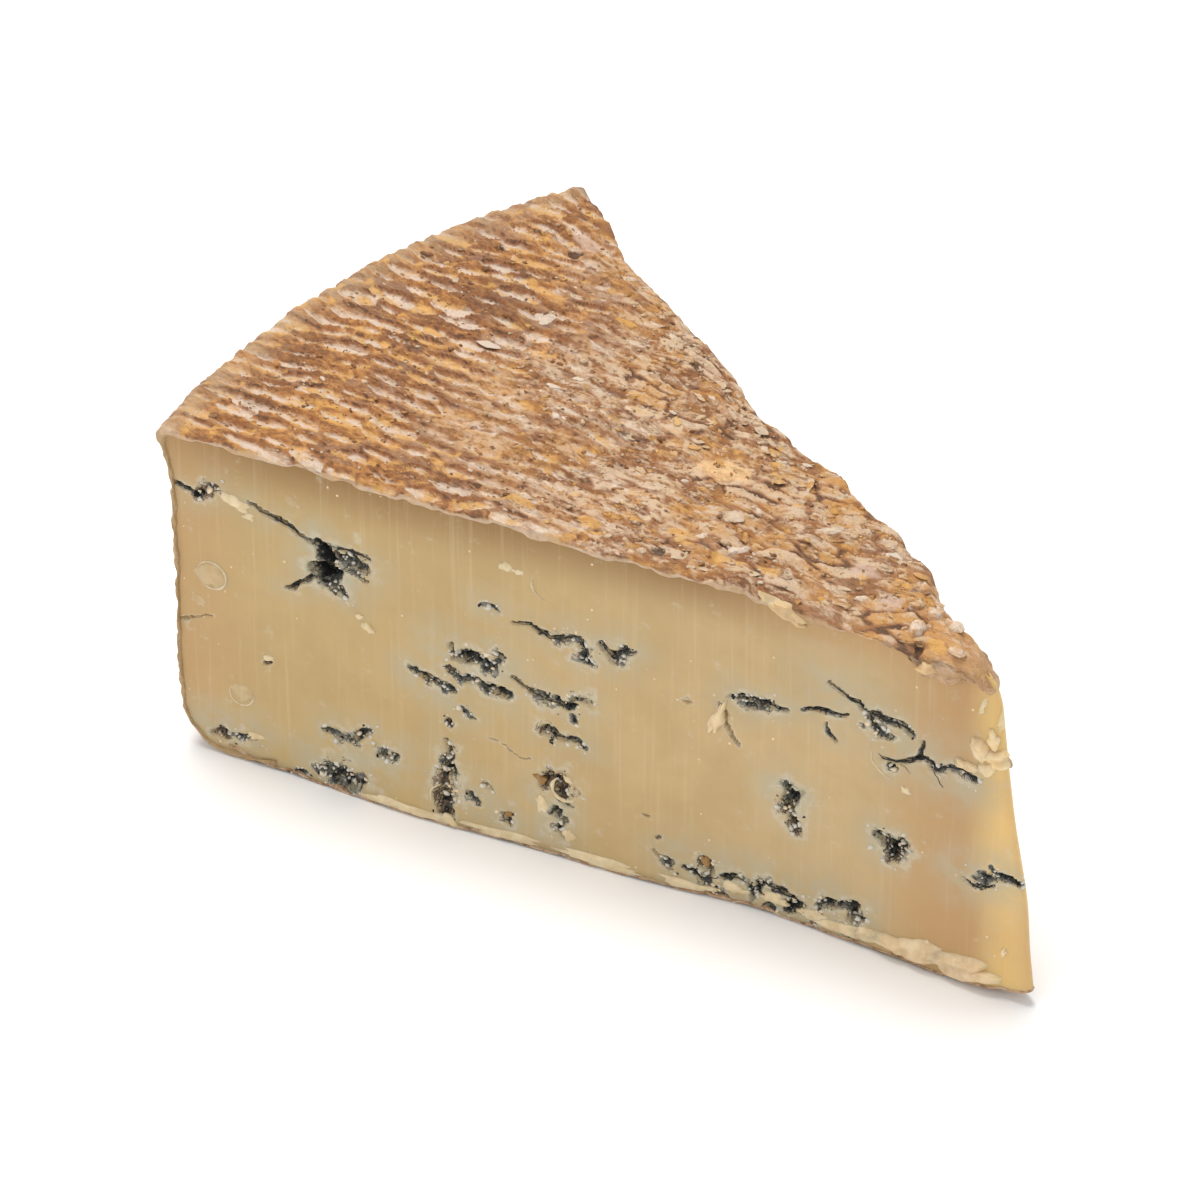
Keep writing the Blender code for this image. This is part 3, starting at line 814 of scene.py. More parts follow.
ROW_ANGLE = math.radians(9.5)
WEAVE_LENGTH = 0.0078
WEAVE_PITCH = 0.0034
PLATE_LENGTH = 0.0028
PLATE_PITCH = 0.0014
ROW_BEND = 0.13
BEND_START = 0.075
BEND_SOFTNESS = 0.018
CRUST_COLUMNS = 60
CRUST_ZONES = ((0.0, 0.25, 75), (0.25, 0.5, 92), (0.5, 1.0, 176))
CRUST_SIDE_STEP = 0.00070
CRUST_UNDER = 0.0085
CRUST_END_RISE = 0.0016
UNDERSIDE_COLUMNS = 6
SKIN_DEPTH = 0.0032
WALL_INSET = 0.0022
WALL_DEPTHS = (0.07, 0.2, 0.35, 0.5, 0.65, 0.8, 0.92, 1.0)
NOSE_ROOM = 12
SHOULDER_SWELL = 0.0005
FOLD_DEPTH = 0.00035
EDGE_ROUND = 0.00045
EDGE_REACH = 0.0011
TIP_EDGE_ROUND = 0.0015
TIP_EDGE_REACH = 0.0042
PIT_SINK = 0.0009
FRONT_LENGTH = 0.0085
FRONT_PITCH = 0.0029
TOP_LINE_END = WHEEL_RADIUS - SHOULDER_RADIUS

# Unevenness of the crust alone: cell, height and seed of each layer.
ROW_WANDER = ((0.021, 0.0015, 71), (0.008, 0.0006, 72))
ROW_SHIFT = ((0.012, 0.0015, 73),)
ORDER_NOISE = ((0.018, 0.16, 74),)
SIDE_WANDER = ((0.016, 0.0014, 75),)
FRONT_LUMPS = ((0.0046, 0.00065, 107), (0.0021, 0.00034, 108))
CRUST_GRAIN = ((0.0011, 0.00010, 76), (0.0005, 0.00005, 77))
MARK_EDGE = ((0.0018, 0.5, 78),)
WALL_UNEVEN = ((0.004, 0.28, 101), (0.0016, 0.22, 102))
WALL_ROUGH = ((0.0036, 0.00085, 103), (0.0013, 0.00028, 104))
WALL_PLAIN = ((0.0020, 0.00024, 105), (0.0009, 0.00014, 106))
BASE_UNEVEN = ((0.006, 0.35, 122), (0.002, 0.2, 123))
PRINT_LUMPS = ((0.010, 1.0, 121),)

# Marks on the top: kind, distance from the axis in mm, degrees from the middle, and half
# sizes along and across the rows in mm.
STAINS = (
    ("dark", 132, 14.3, 1.6, 1.0),
    ("dark", 139, 10.0, 1.8, 0.5),
    ("dark", 63, -15.8, 1.2, 0.9),
    ("dark", 63.6, -1.5, 1.8, 0.7),
    ("dark", 26.3, 1.1, 0.9, 0.8),
    ("dark", 17, -17.0, 0.8, 0.6),
    ("gold", 14, -14.0, 1.8, 1.0),
    ("gold", 21, 8.0, 1.8, 1.0),
    ("gold", 45, -12.0, 2.6, 1.0),
    ("gold", 54, -13.0, 2.0, 1.2),
    ("dark", 55, -10.0, 1.6, 0.5),
    ("dark", 49, -4.0, 1.4, 0.4),
    ("dark", 127, -6.0, 1.2, 0.4),
    ("gold", 128, 9.0, 1.8, 0.9),
    ("gold", 118, -2.0, 1.8, 0.9),
    ("gold", 110, 12.0, 2.2, 0.8),
    ("gold", 135.2, 14.7, 1.2, 0.8),
    ("gold", 27.6, 6.1, 1.6, 1.0),
    ("gold", 33.2, -0.3, 1.2, 0.9),
    ("gold", 88, -15.5, 3.0, 1.0),
    ("gold", 76, -15.0, 2.4, 1.0),
    ("gold", 62, -11.0, 2.6, 1.2),
    ("ochre", 68.2, 4.3, 4.6, 2.6),
    ("lilac", 133.8, 16.0, 3.6, 2.2),
    ("lilac", 25.9, -3.4, 2.2, 1.9),
    ("lilac", 34, 1.5, 2.6, 1.6),
)

# Chips on the top: distance from the axis, degrees from the middle, half length, half
# width and thickness in mm, and how white each is.
CHIPS = (
    (103.4, 1.3, 1.5, 0.7, 0.25, 1.5),
    (102.2, 3.8, 1.1, 0.6, 0.25, 1.4),
    (98.9, -5.0, 0.9, 0.8, 0.3, 1.5),
    (96.9, -2.1, 1.2, 0.7, 0.3, 1.3),
    (106.9, 14.1, 1.9, 0.8, 0.25, 1.4),
    (102.2, 15.4, 1.2, 0.6, 0.25, 1.2),
    (119.5, 1.7, 2.4, 2.0, 0.22, 0.7),
    (118.3, 7.0, 2.2, 1.8, 0.22, 0.6),
    (120.0, 16.8, 2.4, 1.0, 0.5, 0.9),
    (18.2, -8.8, 2.1, 1.5, 1.3, 1.4),
    (18.0, 5.1, 1.7, 1.6, 1.1, 1.2),
    (21.6, 1.0, 1.5, 1.0, 0.9, 0.9),
    (13.6, 3.0, 2.2, 1.2, 0.7, 0.5),
    (11.0, -8.0, 2.6, 1.1, 0.6, 0.5),
    (23.4, 9.0, 1.8, 1.1, 0.8, 0.8),
    (30.0, -6.0, 1.6, 0.8, 0.5, 0.7),
    (45.0, 6.0, 2.6, 1.0, 0.5, 0.5),
    (52.0, -9.0, 2.4, 1.0, 0.5, 0.6),
)


def crust_form(share_out, length, share_across):
    """Ideal point, height and outward normal of the crust's outside.

    share_out runs from the nose (0) to the shoulder (1) over the flat top, length goes on
    from there down the rim, and share_across runs from the near cut (0) to the far (1).
    """
    radius, height, normal_out, normal_up = rim_profile(length)
    angle = HALF_ANGLE * (2.0 * share_across - 1.0)
    direction = np.column_stack([-np.cos(angle), np.sin(angle)])
    nose, _ = nose_plan(2.0 * share_across - 1.0, np.full(len(angle), WHEEL_HEIGHT))
    outer = radius[:, None] * direction
    plan = (1.0 - share_out)[:, None] * nose + share_out[:, None] * outer
    normal = np.column_stack([direction * normal_out[:, None], normal_up])
    return plan, height, normal


def weave(p, q, front, seed):
    """Relief of one crust pattern, in millimetres, and its fields.

    Where front is 0, lens-shaped pits lie brick fashion along the rows, each with a
    raised lip on its near side; painted shade darkens the far side of each pit. Where
    front is 1, the cells are plates parted by crevices, darkened with painted shade.
    Strands run along the rows, and smaller plates with cracks break up everything; the
    cracks take painted shade too.
    """
    scaled_p, scaled_q = p / WEAVE_LENGTH, q / WEAVE_PITCH
    _, _, off_p, off_q, chance = cells(scaled_p, scaled_q, 0.30 + 0.5 * front, seed)
    near, second, _, _, fate = cells(p / FRONT_LENGTH, q / FRONT_PITCH, 0.95, seed + 40)
    ragged = flat_lumps(p, q, ((0.0014, 0.45, seed + 6), (0.0007, 0.25, seed + 7)))
    size = 0.62 + 0.55 * chance[:, 0]
    slant = 0.45 * (chance[:, 1] - 0.35)
    lens = (off_p / (0.50 * size)) ** 2 + ((off_q - slant * off_p) / (0.39 * size)) ** 2
    lens = lens + ragged
    pit = fall(lens, 0.50, 1.35)
    lip = bell(lens, 1.7, 0.7) * smooth_step(-off_q, -0.05, 0.12)
    # Painted highlight: a pale line along the near edge of each pit.
    near_edge_highlight = bell(lens, 0.95, 0.45) * smooth_step(-off_q, 0.02, 0.14)
    # Painted shade along the far side of each pit.
    far_side_shade = bell(lens, 1.3, 0.5) * smooth_step(off_q, 0.0, 0.12)
    # The pit is painted paler towards its near side: painted light on a pale pit.
    glow = pit * (0.55 + 0.45 * smooth_step(-off_q, -0.22, 0.10)) * (0.55 + 0.5 * chance[:, 1])
    fringe = bell(lens, 1.5, 0.8) * smooth_step(off_p - off_q, -0.10, 0.30)
    back = smooth_step(second - near + 0.30 * ragged, 0.0, 0.30)
    strand = 1.0 - 2.0 * np.abs(flat_lumps(p / 3.2, q, ((0.0012, 1.0, seed + 8),)))
    finer = 1.0 - 2.0 * np.abs(flat_lumps(p / 2.0, q, ((0.0006, 1.0, seed + 9),)))
    strand = 0.65 * strand + 0.35 * finer
    small, small_second, _, _, plate = cells(p / PLATE_LENGTH, q / PLATE_PITCH, 0.95, seed + 20)
    crack = smooth_step(small_second - small, 0.0, 0.30)
    ordered = -0.68 * pit + 0.24 * lip
    plates = 0.44 * back * (0.30 + 0.70 * fate[:, 0]) - 0.24
    relief = ordered * (1.0 - front) + plates * front + 0.12 * strand
    relief = relief + (0.14 + 0.08 * front) * (crack * (0.35 + 0.65 * plate[:, 0]) - 0.5)
    # Painted shade: dark along the far side of each pit and in the cracks between the small plates,
    # and, where front is 1, in the crevices between the plates.
    ordered_shade = 0.85 * far_side_shade + 0.22 * (1.0 - crack)
    plates_shade = (1.0 - back) * (0.55 + 0.55 * fate[:, 1])
    plates_shade = plates_shade + 0.16 * (1.0 - crack) * (1.0 - 0.6 * back)
    own_tone = chance[:, 2] * (1.0 - front) + fate[:, 1] * front
    tone = 0.42 * own_tone + 0.36 * plate[:, 1] + 0.14 * (1.0 + strand) + 0.2 * lip
    return {
        "relief": relief,
        "crevice": np.clip(ordered_shade * (1.0 - front) + plates_shade * front, 0.0, 1.2),
        "pit": np.maximum(glow, near_edge_highlight * (0.45 + 0.65 * chance[:, 0])) * (1.0 - 0.75 * front),
        "tone": tone,
        "gold": fringe * smooth_step(chance[:, 2], 0.25, 0.75) * (1.0 - 0.5 * front),
        "hue": 0.5 * (chance[:, 1] * (1.0 - front) + fate[:, 2] * front) + 0.5 * plate[:, 2],
    }


def crust_fields(plan, height, length, share_across):
    """Relief along the normal and colour fields of the crust at ideal points."""
    x, y = plan[:, 0], plan[:, 1]
    wander = flat_lumps(x, y, ROW_WANDER)
    cos, sin = math.cos(ROW_ANGLE), math.sin(ROW_ANGLE)
    p = x * cos + y * sin + flat_lumps(y, x, ROW_SHIFT)
    bend = ROW_BEND * BEND_SOFTNESS * np.log1p(np.exp((x + BEND_START) / BEND_SOFTNESS))
    q = y * cos - x * sin - bend + wander
    along = np.hypot(x, y)
    order_noise = flat_lumps(x, y, ORDER_NOISE)
    across = share_across - 0.5
    front = smooth_step(0.112 - along + 0.045 * across + 0.12 * order_noise, -0.014, 0.040)
    top = weave(p, q, 0.95 * front, 80)
    arc = WHEEL_RADIUS * HALF_ANGLE * (2.0 * share_across - 1.0)
    side_q = height + flat_lumps(arc, height, SIDE_WANDER)
    side = weave(arc, side_q, np.full(len(arc), 0.35), 90)
    on_side = smooth_step(length, 0.0010, 0.0045)
    fields = {key: top[key] * (1.0 - on_side) + side[key] * on_side for key in top}
    points = np.column_stack([plan, height])
    near_shoulder = bell(along, WHEEL_RADIUS - 0.002, 0.0035) * (length < 0.005)
    calm = 1.0 - 0.40 * near_shoulder
    calm = calm * (1.0 - 0.45 * on_side) * (0.3 + 0.7 * smooth_step(along, 0.003, 0.011))
    edge = np.minimum(share_across, 1.0 - share_across) * 2 * HALF_ANGLE * along
    edge = np.minimum(edge, np.maximum(along - NOSE_FRONT, 0.0))
    near_tip = fall(along, 0.012, 0.034)
    rounded = EDGE_ROUND * fall(edge, 0.0, EDGE_REACH) ** 2
    rounded = rounded + near_tip * TIP_EDGE_ROUND * fall(edge, 0.0, TIP_EDGE_REACH) ** 2
    lumpy = lumps(points, FRONT_LUMPS)
    grain = lumps(points, CRUST_GRAIN)
    relief = (fields.pop("relief") + 0.10) * MM * calm + grain - rounded
    relief = relief + SHOULDER_SWELL * near_shoulder + front * (1.0 - on_side) * lumpy
    fields["pit"] = fields["pit"] * calm
    fields["crevice"] = fields["crevice"] * smooth_step(along, 0.002, 0.012)
    fields["front"] = front
    fields["rim"] = on_side
    fields["lip"] = on_side * fall(edge, 0.0006, 0.0026)
    fields["shoulder"] = near_shoulder
    fields["tip"] = fall(along + 0.1 * order_noise, 0.010, 0.034)
    for kind in ("dark", "ochre", "lilac"):
        fields[kind] = np.zeros(len(x))
    for kind, distance, degrees, half_p, half_q in STAINS:
        centre = -np.cos(np.radians(degrees)), np.sin(np.radians(degrees))
        away_x = x - distance * MM * centre[0]
        away_y = y - distance * MM * centre[1]
        along_row = away_x * cos + away_y * sin
        beside = away_y * cos - away_x * sin
        ring = (along_row / (half_p * MM)) ** 2 + (beside / (half_q * MM)) ** 2
        ring = ring + flat_lumps(x, y, MARK_EDGE)
        mark = fall(ring, 0.4, 1.5) * (1.0 - on_side)
        fields[kind] = np.maximum(fields[kind], mark)
    relief = relief - PIT_SINK * fields["dark"] + 0.0002 * fields["ochre"]
    relief = relief - 0.0003 * fields["ochre"] * (fields["crevice"] > 0.4)
    return relief, fields


def crust_outside(share_out, length, share_across):
    """Settled points of the crust's outside with its relief, and the colour fields."""
    plan, height, normal = crust_form(share_out, length, share_across)
    points = settle(plan, height, lip_thickness(from_axis(plan))[1])
    relief, fields = crust_fields(plan, height, length, share_across)
    return points + normal * relief[:, None], fields


def crust_wall(plan, height, inward, outward, depth_share, edge_shift):
    """One ring of the crust's edge on the cuts and the nose, at a share of its depth.

    edge_shift is how far the outside's own relief has moved the edge; it dies away down
    the wall.
    """
    along = from_axis(plan)
    thickness, proud = lip_thickness(along)
    uneven = flat_lumps(along, height, WALL_UNEVEN)
    on_rim = smooth_step(WHEEL_HEIGHT - height, 0.0, 0.006)
    thickness = thickness * (1.0 + uneven) * (1.0 - 0.45 * on_rim)
    depth = depth_share * thickness
    ring_plan = plan + inward[:, :2] * depth[:, None]
    ring_height = height + inward[:, 2] * depth
    proud = proud * (1.0 - 0.9 * smooth_step(depth_share, 0.8, 1.0))
    points = settle(ring_plan, ring_height, proud)
    near_tip = fall(along, 0.014, 0.034)
    rough = lumps(points, WALL_ROUGH)
    plain = lumps(points, WALL_PLAIN)
    swell = near_tip * rough + (1.0 - near_tip) * plain
    fold = np.sin(ring_height / 0.00052 + 5.0 * uneven + along / 0.0021)
    swell = swell + near_tip * FOLD_DEPTH * (1.0 - 2.0 * np.abs(fold))
    bulge = swell * np.sin(math.pi * min(depth_share * 1.05, 1.0)) ** 0.5
    bulge = bulge * smooth_step(along, 0.002, 0.012)
    return points + outward * bulge[:, None] + edge_shift * (1.0 - depth_share) ** 1.5


def build_crust(material):
    """The crust of the top, the rim and the foot, as one closed shell.

    A grid covers the outside, with twice the columns in each wider zone. A wall follows
    its edge down the near cut, round the nose and down the far cut, and an inner skin
    closes it underneath.
    """
    shell = Shell()
    indices, places, count = [], [], 0
    rim_rows = np.arange(CRUST_SIDE_STEP, RIM_LENGTH + CRUST_UNDER, CRUST_SIDE_STEP)
    columns = CRUST_COLUMNS
    for start, end, steps in CRUST_ZONES:
        outs = np.linspace(start, end, steps, endpoint=False)
        over = np.zeros(len(outs))
        if end == 1.0:
            outs = np.concatenate([outs, np.ones(len(rim_rows) + 1)])
            over = np.concatenate([over, [0.0], rim_rows])
        across = np.tile(np.linspace(0.0, 1.0, columns + 1), len(outs))
        places.append([np.repeat(outs, columns + 1), np.repeat(over, columns + 1), across])
        index = count + np.arange(len(across)).reshape(len(outs), -1)
        shell.faces.append(grid_quads(index))
        if indices:
            shell.faces.append(halving(indices[-1][-1], index[0]))
        indices.append(index)
        count += index.size
        columns *= 2
    share_out, length, share_across = (np.concatenate(parts) for parts in zip(*places))
    points, fields = crust_outside(share_out, length, share_across)
    under = np.maximum(length - RIM_LENGTH, 0.0)
    points[:, 2] += CRUST_END_RISE * smooth_step(under, 0.25 * CRUST_UNDER, CRUST_UNDER)
    shell.add(points, **fields)

    near_edge = np.concatenate([index[:, 0] for index in indices])[::-1]
    far_edge = np.concatenate([index[:, -1] for index in indices])
    nose_edge = indices[0][0][1:-1]
    edge = np.concatenate([near_edge, nose_edge, far_edge])
    plan, height, edge_normal = crust_form(share_out[edge], length[edge], share_across[edge])
    turns = 2.0 * share_across[nose_edge] - 1.0
    _, nose_normal = nose_plan(turns, np.full(len(turns), WHEEL_HEIGHT))
    pairs = len(near_edge)
    outward = np.concatenate([[OUTWARD[-1]] * pairs, nose_normal, [OUTWARD[1]] * pairs])
    outward = np.column_stack([outward, np.zeros(len(edge))])
    edge_shift = points[edge] - settle(plan, height, lip_thickness(from_axis(plan))[1])

    rings = [edge]

    def add_ring(ring, depth_share):
        own = {key: values[edge] for key, values in fields.items()}
        own["lip"] = np.maximum(own["lip"], depth_share)
        rings.append(shell.add(ring, **own))
        shell.faces.append(ladder(*rings[-2:]))

    for depth_share in WALL_DEPTHS:
        ring = crust_wall(plan, height, -edge_normal, outward, depth_share, edge_shift)
        add_ring(ring, depth_share)
    inner = ring - outward * WALL_INSET
    nose = slice(pairs - NOSE_ROOM, pairs + len(turns) + NOSE_ROOM)
    hub = inner[nose].mean(axis=0) + np.array([-0.004, 0.0, 0.0])
    inner[nose] = hub
    add_ring(inner, 1.0)

    skin = [rings[-1][:pairs]]
    for step in range(1, UNDERSIDE_COLUMNS):
        across = np.full(pairs, step / UNDERSIDE_COLUMNS)
        plan, height, normal = crust_form(share_out[near_edge], length[near_edge], across)
        under = settle(plan, height, 0.0) - normal * SKIN_DEPTH
        under[-NOSE_ROOM - 1 :] = hub
        skin.append(shell.add(under, lip=1.0))
    skin.append(rings[-1][-pairs:][::-1])
    shell.faces += [ladder(left, right) for left, right in zip(skin[:-1], skin[1:])]

    rim = [ring[0] for ring in rings] + [column[0] for column in skin[1:-1]]
    rim += [ring[-1] for ring in rings[::-1]] + list(indices[-1][-1][::-1][1:])
    middle = shell.points()[rim].mean(axis=0)
    shell.faces.append(fan(np.array(rim), shell.add(middle[None, :], lip=1.0)[0]))
    return shell.piece("rind_crust", material)


BASE_STEPS_OUT = 170
BASE_STEPS_ACROSS = 110
BASE_THICKNESS = 0.00045
BASE_RISE_REACH = 0.006
PRINT_LENGTH = 0.0075
PRINT_PITCH = 0.0042
PRINT_DEPTH = 0.0004
UNDULATION = 0.0002


def build_base(material):
    """The base's rind: a thin closed plate with the prints of a board on its underside."""
    share_out, share_across = np.meshgrid(
        np.linspace(0.0, 1.0, BASE_STEPS_OUT + 1),
        np.linspace(0.0, 1.0, BASE_STEPS_ACROSS + 1),
        indexing="ij",
    )
    shape = share_out.shape
    share_out, share_across = share_out.ravel(), share_across.ravel()
    angle = HALF_ANGLE * (2.0 * share_across - 1.0)
    direction = np.column_stack([-np.cos(angle), np.sin(angle)])
    zero = np.zeros(len(angle))
    nose, _ = nose_plan(2.0 * share_across - 1.0, zero)
    reach = WHEEL_RADIUS - FOOT_RADIUS - RIM_INSET + 0.003
    plan = (1.0 - share_out)[:, None] * nose + share_out[:, None] * reach * direction
    along = from_axis(plan)
    points = settle(plan, zero, 0.00012)
    x, y = points[:, 0], points[:, 1]
    near, second, _, _, chance = cells(x / PRINT_LENGTH, y / PRINT_PITCH, 0.7, 120)
    back = smooth_step(second - near, 0.0, 0.4)
    print_depth = PRINT_DEPTH * (1.0 - back) + UNDULATION * (1.0 + lumps(points, PRINT_LUMPS))
    rise = smooth_step(along, reach - BASE_RISE_REACH, reach) * CRUST_END_RISE
    points[:, 2] += print_depth + rise

    shell = Shell()
    plain = {"tone": 0.5, "hue": 0.5, "front": 0.35, "lip": 0.35}
    # The prints' grooves are darkened with painted shade.
    printed = {**plain, "crevice": (1.0 - back) * 0.8, "tone": chance[:, 0], "hue": chance[:, 1]}
    index = shell.add(points, **printed).reshape(shape)
    shell.faces.append(grid_quads(index))
    edge = np.concatenate([index[::-1, 0], index[0, 1:-1], index[:, -1], index[-1, -2:0:-1]])
    previous = closed(edge)
    uneven = flat_lumps(along[edge], along[edge] * 0, BASE_UNEVEN)
    middle = np.array([-0.085, 0.0, BASE_THICKNESS])
    for depth_share, inset in ((0.25, 0.0), (0.6, 0.0), (0.9, 0.00012), (1.0, 0.0030)):
        ring = points[edge].copy()
        ring[:, 2] += BASE_THICKNESS * (1.0 + uneven) * depth_share
        inward = (middle - ring) * np.array([1.0, 1.0, 0.0])
        inward /= np.maximum(from_axis(inward), TINY)[:, None]
        loop = closed(shell.add(ring + inward * inset, **plain))
        shell.faces.append(ladder(previous, loop))
        previous = loop
    hub = shell.add(middle[None, :] + np.array([[0.0, 0.0, 0.0004]]), **plain)
    shell.faces.append(fan(previous, hub[0]))
    return shell.piece("rind_base", material)


# ---------------------------------------------------------------- flakes and crumbs

FLAKE_SPOKES = 9
FLAKE_SHARP_ANGLE = math.radians(38)
UP = (0.0, 0.0, 1.0)


def scatter(template, template_faces, centres, axes, sizes):
    """Copies of a small closed shape: each point is the centre plus its coordinates
    times the sizes along the three axes of that copy."""
    local = template[None, :, :] * sizes[:, None, :]
    points = centres[:, None, :] + np.einsum("nvk,nkd->nvd", local, axes)
    offsets = np.arange(len(centres))[:, None, None] * len(template)
    faces = (template_faces[None, :, :] + offsets).reshape(-1, template_faces.shape[1])
    return points, faces


def plate_template():
    """A flat lens: a middle point and a ring above, the rim, and the same below."""
    angle = np.arange(FLAKE_SPOKES) * 2.0 * math.pi / FLAKE_SPOKES
    ring = np.column_stack([np.cos(angle), np.sin(angle)])
    levels = ((0.72, 1.0), (1.0, 0.0), (0.72, -1.0))
    rings = [np.column_stack([ring * size, np.full(len(ring), up)]) for size, up in levels]
    points = np.concatenate([[[0, 0, 1.25]], *rings, [[0, 0, -1.25]]])
    index = closed(1 + np.arange(3 * FLAKE_SPOKES).reshape(3, -1))
    faces = [fan(index[0], 0), split(grid_quads(index)), fan(index[-1], len(points) - 1)]
    return points, np.concatenate(faces)


def frames(normal, heading, tilt, roll):
    """Axes of each copy: along its heading, across it, and up its normal, after a tilt
    about the cross axis and a roll about the heading."""
    along = heading - normal * np.sum(heading * normal, axis=1)[:, None]
    along /= np.linalg.norm(along, axis=1)[:, None]
    across = np.cross(normal, along)
    up = normal
    cos, sin = np.cos(tilt)[:, None], np.sin(tilt)[:, None]
    along, up = along * cos + up * sin, up * cos - along * sin
    cos, sin = np.cos(roll)[:, None], np.sin(roll)[:, None]
    across, up = across * cos + up * sin, up * cos - across * sin
    return np.stack([along, across, up], axis=1)


def heading(turn):
    """Level unit vectors that are turned by these angles."""
    return np.column_stack([np.cos(turn), np.sin(turn), np.zeros(len(turn))])


def strewn(share_out, share_across, edge_gap):
    """Shares across the top, squeezed so that they keep this gap from its edges."""
    margin = edge_gap / (2.0 * HALF_ANGLE * (0.004 + WHEEL_RADIUS * share_out))
    return margin + (1.0 - 2.0 * margin) * share_across


def build_flakes(material, count, seed):
    """Flakes of dry crust lying along the rows of the top, denser towards the tip."""
    random = np.random.default_rng(seed)
    tries = count * 3
    share_out = np.sqrt(random.uniform(0.002, 1.0, tries))
    share_across = strewn(share_out, random.uniform(0.0, 1.0, tries), 0.0016)
    front = smooth_step(1.0 - share_out, 0.15, 0.6)
    keep = random.uniform(size=tries) < 0.10 + 0.85 * front
    share_out, share_across = share_out[keep][:count], share_across[keep][:count]
    count = len(share_out)
    chips = np.array(CHIPS)
    own = slice(len(chips))
    share_out[own] = (chips[:, 0] * MM - NOSE_FRONT) / (TOP_LINE_END - NOSE_FRONT)
    share_across[own] = 0.5 + np.radians(chips[:, 1]) / (2.0 * HALF_ANGLE)
    points, fields = crust_outside(share_out, np.zeros(count), share_across)
    front = fields["front"]
    turn = ROW_ANGLE + random.normal(0.0, 0.14 + 0.30 * front)
    tilt, roll = random.normal(0, 0.08, count), random.normal(0.08, 0.16, count)
    axes = frames(np.tile(UP, (count, 1)), heading(turn), tilt, roll)
    size = np.minimum(random.lognormal(-0.35, 0.45, count), 1.8) * (0.62 + 0.35 * front)
    widths = 0.55 * size * random.uniform(0.7, 1.5, count)
    sizes = np.column_stack([1.25 * size, widths, random.uniform(0.10, 0.20, count)])
    sizes[own] = chips[:, 2:5]
    template, faces = plate_template()
    shaped, faces = scatter(template, faces, points, axes, sizes * MM)
    spread = np.ones(shaped.shape[:2])
    spread[:, 1:-1] = np.tile(random.uniform(0.62, 1.22, (count, FLAKE_SPOKES)), (1, 3))
    centre = points[:, None, :]
    shaped = centre + (shaped - centre) * spread[:, :, None]
    shaped[:, :, 2] -= 0.00006
    tone = np.clip(random.beta(2.0, 2.0, count) * 0.8 + 0.35 * front, 0, 1)
    hue = random.uniform(size=count)
    pit = (random.uniform(size=count) < 0.16 + 0.10 * front) * random.uniform(0.3, 1.0, count)
    pit[own] = chips[:, 5]
    hue[own] = 0.1
    values = {"tone": tone, "hue": hue, "front": front, "pit": pit}
    values = {key: np.repeat(value, len(template)) for key, value in values.items()}
    piece = new_mesh_object("rind_flakes", shaped.reshape(-1, 3), [faces], values, material)
    piece.data.set_sharp_from_angle(angle=FLAKE_SHARP_ANGLE)
    return piece


def lump_template():
    """A unit ball of 32 faces: an octahedron whose edges are halved and pushed out."""
    corners = np.stack([np.eye(3), -np.eye(3)], 1).reshape(-1, 3)
    octants = [(a, b, 4) for a, b in ((0, 2), (2, 1), (1, 3), (3, 0))]
    octants += [(b, a, 5) for a, b, _ in octants]
    edges = sorted({tuple(sorted((o[i], o[(i + 1) % 3]))) for o in octants for i in range(3)})
    middle = np.array([corners[a] + corners[b] for a, b in edges]) / math.sqrt(2.0)
    number = {edge: 6 + k for k, edge in enumerate(edges)}
    faces = []
    for a, b, c in octants:
        ab, bc, ca = (number[tuple(sorted(pair))] for pair in ((a, b), (b, c), (c, a)))
        faces += [(a, ab, ca), (ab, b, bc), (ca, bc, c), (ab, bc, ca)]
    return np.concatenate([corners, middle]), np.array(faces)


def lumpy_crumbs(random, centres, axes, sizes):
    """Copies of the 32-faced ball, each point pushed in or out at random."""
    template, faces = lump_template()
    points, faces = scatter(template, faces, centres, axes, sizes)
    uneven = random.uniform(0.62, 1.18, (len(centres), len(template), 1))
    centre = centres[:, None, :]
    return (centre + (points - centre) * uneven).reshape(-1, 3), faces, len(template)


def build_rind_crumbs(material, count, seed):
    """Crumbs of dry crust, 0.3 to 1.2 mm long, sunk by half into the top."""
    random = np.random.default_rng(seed)
    share_out = np.sqrt(random.uniform(0.003, 0.985, count))
    share_across = strewn(share_out, random.uniform(0.0, 1.0, count), 0.0012)
    points, fields = crust_outside(share_out, np.zeros(count), share_across)
    front = fields["front"]
    turn = ROW_ANGLE + random.normal(0.0, 0.5, count)
    tilt, roll = random.normal(0, 0.3, count), random.normal(0, 0.3, count)
    axes = frames(np.tile(UP, (count, 1)), heading(turn), tilt, roll)
    size = np.minimum(random.lognormal(-1.50, 0.45, count), 0.65) * (0.85 + 0.25 * front)
    flat = random.uniform(0.45, 0.9, (2, count))
    sizes = np.column_stack([1.35 * size, size * flat[0] * 1.2, size * flat[1]]) * MM
    shaped, faces, per_point = lumpy_crumbs(random, points, axes, sizes)
    pale = random.uniform(size=count) < 0.30 + 0.25 * front
    values = {
        "tone": random.uniform(0.2, 1.0, count),
        "hue": random.uniform(0.0, 1.0, count),
        "front": np.maximum(front, 0.9 * pale),
        "pit": 0.8 * (random.uniform(size=count) < 0.12),
    }
    values = {key: np.repeat(value, per_point) for key, value in values.items()}
    return new_mesh_object("rind_crumbs", shaped, [faces], values, material)


